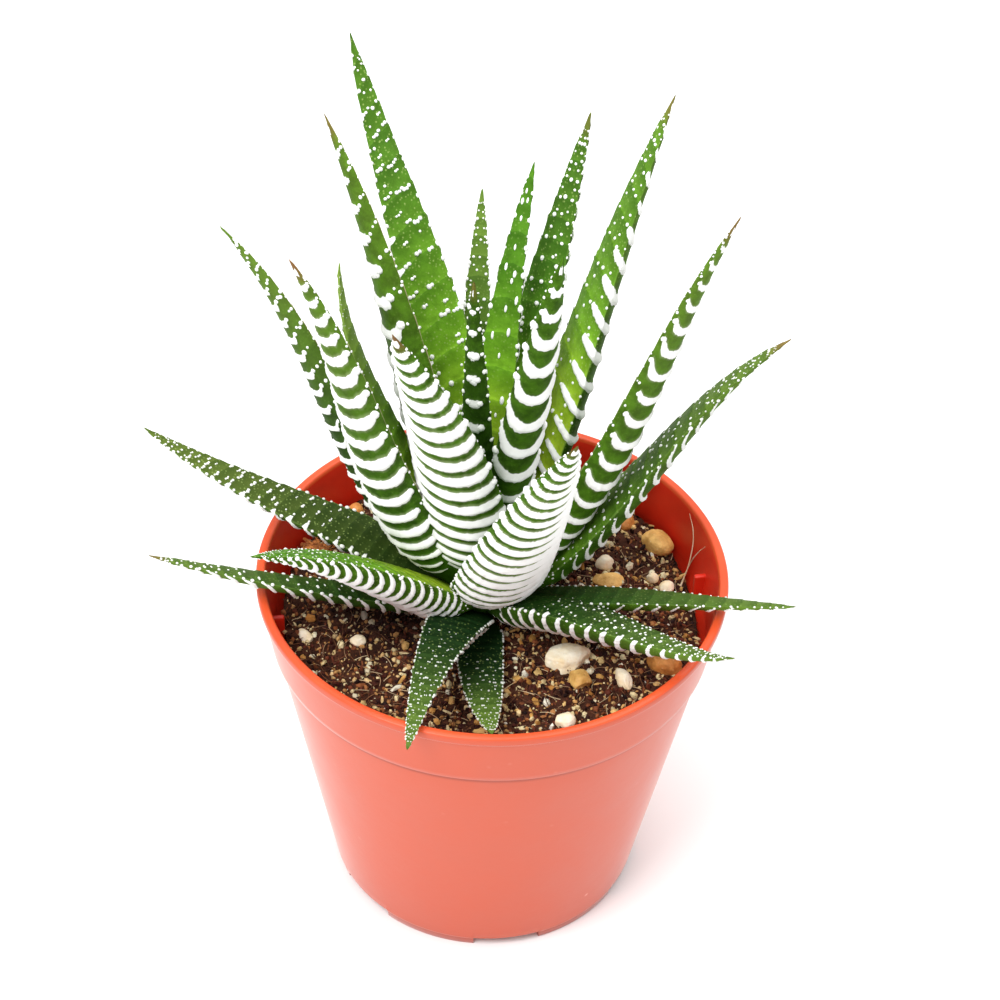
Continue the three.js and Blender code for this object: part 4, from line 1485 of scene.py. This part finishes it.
def stone_material(name, dark, light, fleck):
    material, nodes, shader = new_material(name, 0.62)
    vector = object_coords(nodes)
    patch = mottled(nodes, vector, 330.0, 0.5, dark, light)
    flecks = nodes.times(flecked(nodes, vector, scale=1500.0, size=0.4, share=0.3), 0.45)
    colour = nodes.mix(flecks, patch["Color"], fleck)
    clad(nodes, shader, colour, patch["Height"], 0.6, 0.25 * MM)
    return material


def mottled_material(name, roughness, scale, spread, dark, light):
    """A material that the mottle alone colours; also its helper, shader and mottle."""
    material, nodes, shader = new_material(name, roughness)
    patch = mottled(nodes, object_coords(nodes), scale, spread, dark, light)
    nodes.feed(shader.inputs["Base Color"], patch["Color"])
    return material, nodes, shader, patch


def frame_draw(seed):
    """The frame's own repeatable draw, between 0 and 1."""
    state = seed

    def draw():
        nonlocal state
        state = (state * 1664525 + 1013904223) % 4294967296
        return state / 4294967296

    return draw


def splinter(draw, i):
    """One frayed splinter of the bark, turned and in its place."""
    length = BARK["length"] * (0.6 + 0.4 * draw())
    thick = BARK["width"] * (0.6 + 0.5 * draw())
    spin = Matrix.Rotation(draw(), 4, "X")
    spin = Matrix.Rotation(0.5 * (draw() - 0.5), 4, "Y") @ spin
    spin = Matrix.Rotation(math.pi * (i / BARK["splinters"] + 0.2 * draw()), 4, "Z") @ spin
    x, y = BARK["at"]
    move = Matrix.Translation(Vector((x, y, soil_top(x, y) + 0.5 + 0.5 * draw())))
    shard = bmesh.new()
    bmesh.ops.create_cube(shard, size=1)
    bmesh.ops.scale(shard, vec=(length, BARK["width"], thick), verts=shard.verts)
    bmesh.ops.subdivide_edges(shard, edges=shard.edges[:], cuts=7, use_grid_fill=True)
    for vert in shard.verts:
        v = vert.co
        grain = noise.noise(Vector((v.x * 0.35, v.y * 3.2, v.z * 3.2 + 9 * i)))
        lump = noise.noise(v * 0.9 + Vector((5 * i, 0, 0)))
        end = 1 - 0.45 * (abs(v.x) / (length / 2)) ** 3
        vert.co = Vector((v.x * (1 + 0.12 * grain), v.y * end * (1 + 0.3 * grain), v.z * end))
        vert.co += v.normalized() * (0.14 * grain + 0.16 * lump)
    shard.transform(move @ spin)
    return shard


def bark_mesh():
    """Frayed splinters that cross at one point."""
    draw = frame_draw(5)
    whole = bmesh.new()
    for i in range(BARK["splinters"]):
        add_shape(whole, splinter(draw, i))
    return mesh_of(whole, "bark_splinters", MM)


def bark_hair_routes():
    """Loose hairs that spring from the bark, kept inside the pot's wall."""
    draw = random.Random(23)
    x, y = BARK["at"]
    routes = []
    for _ in range(BARK["hairs"]):
        turn = draw.uniform(0, 2 * math.pi)
        out = draw.uniform(0, 2.6)
        px, py = x + out * math.cos(turn), y + out * math.sin(turn)
        way = draw.uniform(0, 2 * math.pi)
        length = draw.uniform(2, 5)
        z = soil_top(px, py) + 0.4
        mid_x, mid_y = px + 0.5 * length * math.cos(way), py + 0.5 * length * math.sin(way)
        mid = (mid_x, mid_y, z + draw.uniform(0.4, 1.8))
        end_x, end_y = px + length * math.cos(way + 0.5), py + length * math.sin(way + 0.5)
        end = (end_x, end_y, z + draw.uniform(-0.2, 2.0))
        if math.hypot(end_x, end_y) < BARK["hair_reach"]:
            routes.append([(px, py, z), mid, end])
    return routes


def strand_mesh(name, routes, radius, material):
    """Thin tubes along routes of points, tapering to their ends."""
    curve = bpy.data.curves.new(name, "CURVE")
    curve.dimensions = "3D"
    curve.bevel_depth = radius * MM
    curve.bevel_resolution = 1
    curve.use_fill_caps = True
    curve.resolution_u = 6
    for route in routes:
        spline = curve.splines.new("BEZIER")
        spline.bezier_points.add(len(route) - 1)
        for k, (point, place) in enumerate(zip(spline.bezier_points, route)):
            point.co = Vector(place) * MM
            point.handle_left_type = point.handle_right_type = "AUTO"
            point.radius = 1.0 - 0.7 * (k / (len(route) - 1)) ** 2
    obj = bpy.data.objects.new(name, curve)
    bpy.context.scene.collection.objects.link(obj)
    made = baked(obj, name)
    bpy.data.curves.remove(curve)
    shade_smooth(made.data)
    made.data.materials.append(material)
    return made


# ---------------------------------------------------------------- pot


def outer_wall(z):
    """Outer radius of the pot under its collar at a height."""
    share = (z - POT["floor_lift"]) / (POT["neck_z"] - POT["floor_lift"])
    return POT["base"] + POT["step"] + share * (POT["neck"] - POT["base"] - POT["step"])


def pot_profile():
    """Radius, height and place (0 outside, 1 rim, 2 inside) of the pot's section."""
    h, lift, base, pad = POT["height"], POT["floor_lift"], POT["base"], POT["pad"]
    rim, neck, thick = POT["rim"], POT["neck_z"], POT["floor_thick"]
    collar_foot, collar_top = POT["collar_foot"], rim - POT["lip"]
    floor_top = lift + thick
    foot = base - POT["foot_width"]
    # The pad in the middle, the foot ring, and the small step above it.
    outside = [(0, 0), (pad - 0.3, 0), (pad, 0.12), (pad + 0.8, lift - 0.15), (pad + 1.1, lift)]
    outside += [(foot - 0.6, lift), (foot - 0.35, lift - 0.2), (foot - 0.1, 0.15)]
    outside += [(foot + 0.1, 0), (base - 0.2, 0), (base, 0.15), (base + 0.12, 1.6)]
    outside += [(base + 0.2, 1.8), (base + 0.5, 2.05), (base + 0.56, 2.35)]
    # The tapering wall, the collar and the swelling under the rim.
    outside += [(outer_wall(z), z) for z in np.linspace(4, neck - 0.6, 24)]
    outside += [(outer_wall(neck - 0.25), neck - 0.3), (collar_foot - 0.25, neck - 0.12)]
    outside += [(collar_foot, neck + 0.15)]
    for share in np.linspace(0.1, 0.97, 8):
        radius = collar_foot + share * (collar_top - collar_foot)
        outside.append((radius, neck + 0.15 + share * (h - 1.95 - neck)))
    outside += [(collar_top + 0.02, h - 1.85), (rim - 0.22, h - 1.72), (rim - 0.04, h - 1.5)]
    outside += [(rim, h - 1.2), (rim, h - 0.5)]
    top = [(rim - 0.1, h - 0.2), (rim - 0.35, h), (41.2, h), (40.95, h - 0.12), (40.82, h - 0.45)]
    inside = [(inner_wall(z), z) for z in np.linspace(h - 1, neck, 8)]
    inside += [(inner_wall(z), z) for z in np.linspace(neck - 1.4, floor_top + 0.4, 14)]
    inside += [(inner_wall(floor_top) - 0.4, floor_top), (pad + 0.4, floor_top)]
    inside += [(pad - 0.6, thick), (0, thick)]
    zones = ((outside, 0.0), (top, 1.0), (inside, 2.0))
    return [(radius, z, zone) for points, zone in zones for radius, z in points]


def pot_mesh(segments):
    """The lathed pot, with notches in its foot ring."""
    half = math.degrees(math.asin(POT["notch_width"] / 2 / POT["base"]))
    apart = 360 / POT["notches"]
    centres = [POT["first_notch"] + apart * i for i in range(POT["notches"])]
    turns = [360 * i / segments for i in range(segments)]
    for centre in centres:
        turns += [centre - half, centre - half - 0.03, centre + half, centre + half + 0.03]
    turns = sorted({round(turn % 360, 4) for turn in turns})
    inner_foot = POT["base"] - POT["foot_width"] - 1.7
    profile = pot_profile()
    points, zones = [], []
    for radius, z, zone in profile:
        in_foot = radius > inner_foot and z < POT["floor_lift"] and zone == 0
        for turn in turns if radius else [0.0]:
            off = min(abs((turn - centre + 180) % 360 - 180) for centre in centres)
            notched = in_foot and off <= half + 0.001
            a = math.radians(turn)
            height = POT["floor_lift"] - 0.02 if notched else z
            points.append((radius * math.cos(a), radius * math.sin(a), height))
            zones.append(zone)
    counts = [len(turns) if p[0] else 1 for p in profile]
    faces = revolve_faces(counts, len(turns))
    return mesh_from("pot_wall", points, faces, {"zone": zones})


def pot_lugs():
    """Short upright ribs inside the collar."""
    whole = bmesh.new()
    place = Matrix.Translation((inner_wall(62.5) - POT["lug_inset"], 0, POT["lug_z"]))
    for i in range(POT["lugs"]):
        lug = bmesh.new()
        bmesh.ops.create_cube(lug, size=1)
        bmesh.ops.scale(lug, vec=POT["lug_size"], verts=lug.verts)
        bmesh.ops.bevel(
            lug, geom=lug.edges[:] + lug.verts[:], offset=0.35, segments=3, affect="EDGES",
            profile=0.6,
        )
        turn = POT["first_lug"] + 360 / POT["lugs"] * i
        lug.transform(Matrix.Rotation(math.radians(turn), 4, "Z") @ place)
        add_shape(whole, lug)
    mesh = mesh_of(whole, "pot_lugs", MM)
    zone = mesh.attributes.new("zone", "FLOAT", "POINT")
    zone.data.foreach_set("value", [2.0] * len(mesh.vertices))
    shade_smooth(mesh)
    return mesh


def drain_cutter():
    """Round cutters through the pot's floor, one between each two notches."""
    whole = bmesh.new()
    for i in range(POT["notches"]):
        turn = math.radians(POT["first_notch"] + 360 / POT["notches"] * (i + 0.5))
        at = Vector((math.cos(turn), math.sin(turn), 0)) * POT["drain_circle"] * MM
        at.z = (POT["floor_lift"] + 1) * MM
        bmesh.ops.create_cone(
            whole, cap_ends=True, segments=40, radius1=POT["drain_radius"] * MM,
            radius2=POT["drain_radius"] * MM, depth=6 * MM, matrix=Matrix.Translation(at),
        )
    return mesh_of(whole, "drain_cutter")


def outside_material(settings):
    """Moulded plastic with a dry bloom, the marks of handling, and painted shade under the collar
    and above the foot.
    """
    material, nodes, shader = new_material(
        "Bloomed plastic", 0.45, Sheen_Weight=0.5, Sheen_Roughness=0.3
    )
    vector = object_coords(nodes)
    z = nodes.add("ShaderNodeSeparateXYZ", {"Vector": vector}).outputs["Z"]
    outside = tuple(settings.outside)
    soft = mottled(nodes, vector, 70.0, 0.9, scaled(outside, 0.93), outside)
    low = nodes.ramp(z, 26 * MM, 4 * MM, 0.05, 0.6)
    dust = nodes.times(flecked(nodes, vector, scale=260.0, size=0.16, share=0.2), low)
    colour = nodes.mix(dust, soft["Color"], (0.9, 0.55, 0.45))
    # Painted shade darkens the wall under the collar and the step above the foot.
    neck = POT["neck_z"]
    under = nodes.ramp(z, (neck - 1.7) * MM, (neck - 0.9) * MM, 0.0, 0.6)
    under = nodes.times(under, nodes.ramp(z, (neck + 0.3) * MM, (neck + 0.1) * MM))
    foot = nodes.ramp(z, 2.3 * MM, 1.7 * MM, 0.0, 0.35)
    painted_shade = nodes.stain(colour, (0.5, 0.32, 0.3))
    colour = nodes.mix(nodes.math("MAXIMUM", under, foot), colour, painted_shade)
    nodes.feed(shader.inputs["Roughness"], nodes.ramp(soft["Mask"], 0.0, 1.0, 0.42, 0.52))
    clad(nodes, shader, colour, soft["Height"], 0.15, 0.12 * MM)
    return material


def inside_material(settings):
    """Glossier plastic of the rim and the inner wall."""
    material, nodes, shader = new_material("Clean plastic", 0.33, Specular_IOR_Level=0.35)
    vector = object_coords(nodes)
    inner = nodes.ramp(nodes.attribute("zone"), 1.3, 1.9)
    colour = nodes.mix(inner, tuple(settings.rim), tuple(settings.inside))
    deep = nodes.stain(colour, (0.82, 0.7, 0.7))
    soft = mottled(nodes, vector, 90.0, 0.8, deep, colour)
    nodes.feed(shader.inputs["Roughness"], nodes.ramp(soft["Mask"], 0.0, 1.0, 0.28, 0.4))
    clad(nodes, shader, soft["Color"], soft["Height"], 0.15, 0.12 * MM)
    return material


def stem_mesh(low, high):
    """The ringed stem between two heights, narrowing above its shoulder, with its green."""
    points, greens = [], []
    heights = np.linspace(low, high, STEM["rows"])
    for z in heights:
        shoulder = max(0.0, (z - STEM["shoulder"]) / (high - STEM["shoulder"]))
        radius = STEM["radius"] - STEM["narrowing"] * shoulder
        radius *= 1 - STEM["ring_depth"] * (0.5 + 0.5 * math.sin(z * STEM["ring_rate"]))
        radius *= min(1, 0.7 + (z - low) / 10)
        for i in range(STEM["segments"]):
            turn = 2 * math.pi * i / STEM["segments"]
            east, north = math.cos(turn), math.sin(turn)
            wave = 1 - 0.03 * (1 + noise.noise(Vector((east, north, z * 0.7))))
            points.append((STEM["x"] + radius * wave * east, STEM["y"] + radius * wave * north, z))
            greens.append(max(0.0, min(1.0, (z - STEM["green_from"]) / 8)))
    around = STEM["segments"]
    last = (len(heights) - 1) * around
    faces = revolve_faces([around] * len(heights), around)
    faces.append(tuple(range(around - 1, -1, -1)))
    faces.append(tuple(last + i for i in range(around)))
    return mesh_from("stem_ringed", points, faces, {"green": greens})


# ---------------------------------------------------------------- operators


class HAWORTHIA_OT_pot(bpy.types.Operator):
    """Build the nursery pot"""

    bl_idname = "haworthia.pot"
    bl_label = "Pot"

    def execute(self, context):
        settings = context.scene.haworthia_pot
        outside, inside = outside_material(settings), inside_material(settings)
        mesh = pot_mesh(settings.segments)
        wall = object_from("pot_lathe", mesh, outside)
        mesh.materials.append(inside)
        zone = mesh.attributes["zone"].data
        for face in mesh.polygons:
            face.material_index = int(min(zone[v].value for v in face.vertices) > 0.5)
        cutter = object_from("drain_cutter", drain_cutter())
        cut = wall.modifiers.new("Drains", "BOOLEAN")
        cut.operation = "DIFFERENCE"
        cut.object = cutter
        cut.solver = "EXACT"
        pot = baked(wall, "pot_wall")
        spent = cutter.data
        bpy.data.objects.remove(cutter)
        bpy.data.meshes.remove(spent)
        shade_smooth(pot.data)
        pot.data.set_sharp_from_angle(angle=math.radians(50))
        finish_piece(pot, "pot_plastic", "pot")
        lugs = object_from("pot_lugs", pot_lugs(), inside)
        finish_piece(lugs, "pot_plastic")
        return {"FINISHED"}


class HAWORTHIA_OT_leaves(bpy.types.Operator):
    """Build every leaf with its white bands and dots"""

    bl_idname = "haworthia.leaves"
    bl_label = "Leaves"

    def execute(self, context):
        settings = context.scene.haworthia_leaf
        material = leaf_material(settings)
        tree = tubercle_tree()
        for number, name in enumerate(GROWTH):
            rough = object_from(f"{name}_surface", leaf_mesh(name, settings.seed))
            values = {
                "Band Height": settings.band_height,
                "Beadiness": settings.beadiness,
                "Seed": settings.seed + number,
                "Leaf Material": material,
            }
            with_tree(rough, tree, values)
            finish_piece(baked(rough, f"{name}_banded"), "leaf", name)
        return {"FINISHED"}


class HAWORTHIA_OT_stem(bpy.types.Operator):
    """Build the short stem in the rosette's heart"""

    bl_idname = "haworthia.stem"
    bl_label = "Stem"

    def execute(self, context):
        lowest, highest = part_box("stem")
        material, nodes, shader, patch = mottled_material(
            "Stem", 0.7, 300.0, 0.5, (0.12, 0.07, 0.03), (0.34, 0.24, 0.11)
        )
        colour = nodes.mix(nodes.attribute("green"), patch["Color"], (0.08, 0.2, 0.01))
        clad(nodes, shader, colour, patch["Height"], 0.5, 0.2 * MM)
        mesh = stem_mesh(lowest.z / MM, highest.z / MM)
        finish_piece(object_from("stem_ringed", mesh, material), "stem", "stem")
        return {"FINISHED"}


class HAWORTHIA_OT_soil(bpy.types.Operator):
    """Build the soil, its crumbs, grit and fibres"""

    bl_idname = "haworthia.soil"
    bl_label = "Soil"

    def execute(self, context):
        settings = context.scene.haworthia_soil
        ground = object_from("soil_ground", soil_mesh(settings.seed), peat_material(settings))
        crumbs = bit_material("Crumbs", CRUMB_STOPS, 0.7, 600.0)
        grit = bit_material("Grit", GRIT_STOPS, 0.6, 500.0)
        fibre = bit_material("Dry fibres", FIBRE_STOPS, 0.6, 400.0)
        kinds = (
            ("soil_crumbs", scatter_tree("Crumb scatter"), {
                "Spacing": CRUMB_SPACING, "Radius": settings.crumb, "Least": CRUMB_LEAST,
                "Seed": settings.seed, "Bit Material": crumbs,
            }),
            ("soil_grit", scatter_tree("Grit scatter"), {
                "Spacing": GRIT_SPACING, "Radius": settings.grit, "Least": GRIT_LEAST,
                "Seed": settings.seed + 20, "Bit Material": grit,
            }),
            ("soil_fibres", fibre_tree(), {
                "Spacing": FIBRE_SPACING, "Length": FIBRE_LENGTH,
                "Thickness": FIBRE_THICKNESS, "Seed": settings.seed + 40,
                "Fibre Material": fibre,
            }),
        )
        for name, tree, values in kinds:
            holder = object_from(f"{name}_ground", ground.data.copy())
            with_tree(holder, tree, values)
            finish_piece(baked(holder, name), "soil")
        finish_piece(ground, "soil", "soil")
        return {"FINISHED"}


class HAWORTHIA_OT_stones(bpy.types.Operator):
    """Build the loose stones on the soil"""

    bl_idname = "haworthia.stones"
    bl_label = "Stones"

    def execute(self, context):
        looks = {
            kind: stone_material(f"{kind.title()} stone", *colours)
            for kind, colours in STONE_COLOURS.items()
        }
        for name, (_, size, _, kind, _) in STONES.items():
            mesh = stone_mesh(name, 5 if max(size) > 4 else 4)
            stone = object_from(f"{name}_worn", mesh, looks[kind])
            finish_piece(stone, frame_slot(name), name)
        return {"FINISHED"}


def frame_slot(node):
    """The material slot that the frame's record gives a node."""
    for part in frame["record"]["subparts"]:
        if part["node"] == node:
            return part["material_slot"]
    raise RuntimeError(f"{node} isn't in the record")


class HAWORTHIA_OT_bark(bpy.types.Operator):
    """Build the bark clump, its loose hairs and the two dry hairs by the wall"""

    bl_idname = "haworthia.bark"
    bl_label = "Bark and hairs"

    def execute(self, context):
        frayed, nodes, shader, patch = mottled_material(
            "Frayed bark", 0.8, 500.0, 0.5, (0.16, 0.03, 0.006), (0.86, 0.33, 0.07)
        )
        clad(nodes, shader, patch["Color"], patch["Height"], 0.9, 0.4 * MM)
        dry, *_ = mottled_material(
            "Dry hair", 0.5, 300.0, 0.6, (0.62, 0.42, 0.22), (0.95, 0.86, 0.66)
        )
        bark = object_from("bark_splinters", bark_mesh(), frayed)
        finish_piece(bark, "bark", "bark")
        hairs = strand_mesh("bark_hairs", bark_hair_routes(), BARK["hair_radius"], frayed)
        finish_piece(hairs, "bark")
        strands = strand_mesh("dry_hairs", HAIR_ROUTES, HAIR_RADIUS, dry)
        finish_piece(strands, "bark")
        return {"FINISHED"}


class HAWORTHIA_OT_stage(bpy.types.Operator):
    """Set the floor, the soft light and the camera"""

    bl_idname = "haworthia.stage"
    bl_label = "Stage"

    def execute(self, context):
        settings = context.scene.haworthia_stage
        scene = context.scene
        corners = ((-1, -1, 0), (1, -1, 0), (1, 1, 0), (-1, 1, 0))
        mesh = mesh_from("floor", np.array(corners) * FLOOR_HALF / MM, [(0, 1, 2, 3)])
        mesh.transform(Matrix.Translation((0, 0, -0.02 * MM)))
        material, _, shader = new_material("Pale floor", 0.9)
        shader.inputs["Base Color"].default_value = (*settings.floor, 1)
        floor = object_from("floor", mesh, material)

        world = bpy.data.worlds.new("Soft sky")
        world.use_nodes = True
        background = world.node_tree.nodes["Background"]
        background.inputs["Color"].default_value = (1, 1, 1, 1)
        background.inputs["Strength"].default_value = settings.sky
        scene.world = world
        for name, offset, share, size in LAMPS:
            self.lamp(name, Vector((0, 0, RIM_Z)), Vector(offset), settings.key * share, size)

        e, roll = settings.elevation, settings.roll
        back = Vector((0, -math.cos(e), math.sin(e)))
        right = Vector((1, 0, 0))
        up = back.cross(right)
        turned_right = right * math.cos(roll) + up * math.sin(roll)
        turned_up = up * math.cos(roll) - right * math.sin(roll)
        target = Vector((0, 0, RIM_Z + 0.5 * MM))
        target += turned_right * (AIM_RIGHT * MM) + turned_up * (AIM_UP * MM)
        camera = bpy.data.objects.new("Camera", bpy.data.cameras.new("Camera"))
        scene.collection.objects.link(camera)
        camera.data.lens = settings.lens
        camera.data.sensor_width = 36
        basis = Matrix((turned_right, turned_up, back)).transposed().to_4x4()
        camera.matrix_world = Matrix.Translation(target + back * settings.distance) @ basis
        camera.data.clip_start = 0.01
        camera.data.clip_end = 30
        scene.camera = camera
        scene.view_settings.view_transform = "Standard"
        scene.view_settings.look = "None"
        return {"FINISHED"}

    def lamp(self, name, target, offset, power, size):
        """A round soft lamp that looks at the target from an offset."""
        light = bpy.data.lights.new(name, "AREA")
        light.shape = "DISK"
        light.size = size
        light.energy = power
        obj = bpy.data.objects.new(name, light)
        obj.location = target + offset
        obj.rotation_euler = (-offset).to_track_quat("-Z", "Y").to_euler()
        bpy.context.scene.collection.objects.link(obj)


# ---------------------------------------------------------------- panel and registration


class HAWORTHIA_PT_panel(bpy.types.Panel):
    """The parts of the potted haworthia"""

    bl_idname = "HAWORTHIA_PT_panel"
    bl_label = "Potted haworthia"
    bl_space_type = "VIEW_3D"
    bl_region_type = "UI"
    bl_category = "Haworthia"

    def draw(self, context):
        layout = self.layout
        for operator in OPERATORS:
            layout.operator(operator.bl_idname)
        for name, group in SETTINGS.items():
            box = layout.box()
            box.label(text=group.__doc__)
            for key in group.__annotations__:
                box.prop(getattr(context.scene, name), key)


OPERATORS = (
    HAWORTHIA_OT_stage,
    HAWORTHIA_OT_pot,
    HAWORTHIA_OT_stem,
    HAWORTHIA_OT_leaves,
    HAWORTHIA_OT_soil,
    HAWORTHIA_OT_stones,
    HAWORTHIA_OT_bark,
)
SETTINGS = {
    "haworthia_stage": HaworthiaStageSettings,
    "haworthia_pot": HaworthiaPotSettings,
    "haworthia_leaf": HaworthiaLeafSettings,
    "haworthia_soil": HaworthiaSoilSettings,
}


def register():
    for group in SETTINGS.values():
        bpy.utils.register_class(group)
    for operator in OPERATORS:
        bpy.utils.register_class(operator)
    bpy.utils.register_class(HAWORTHIA_PT_panel)
    for name, group in SETTINGS.items():
        setattr(bpy.types.Scene, name, PointerProperty(type=group))


def unregister():
    for name in SETTINGS:
        delattr(bpy.types.Scene, name)
    bpy.utils.unregister_class(HAWORTHIA_PT_panel)
    for operator in reversed(OPERATORS):
        bpy.utils.unregister_class(operator)
    for group in reversed(list(SETTINGS.values())):
        bpy.utils.unregister_class(group)


def main():
    register()
    bpy.ops.haworthia.stage()
    bpy.ops.haworthia.pot()
    bpy.ops.haworthia.stem()
    bpy.ops.haworthia.leaves()
    bpy.ops.haworthia.soil()
    bpy.ops.haworthia.stones()
    bpy.ops.haworthia.bark()


if __name__ == "__main__":
    main()
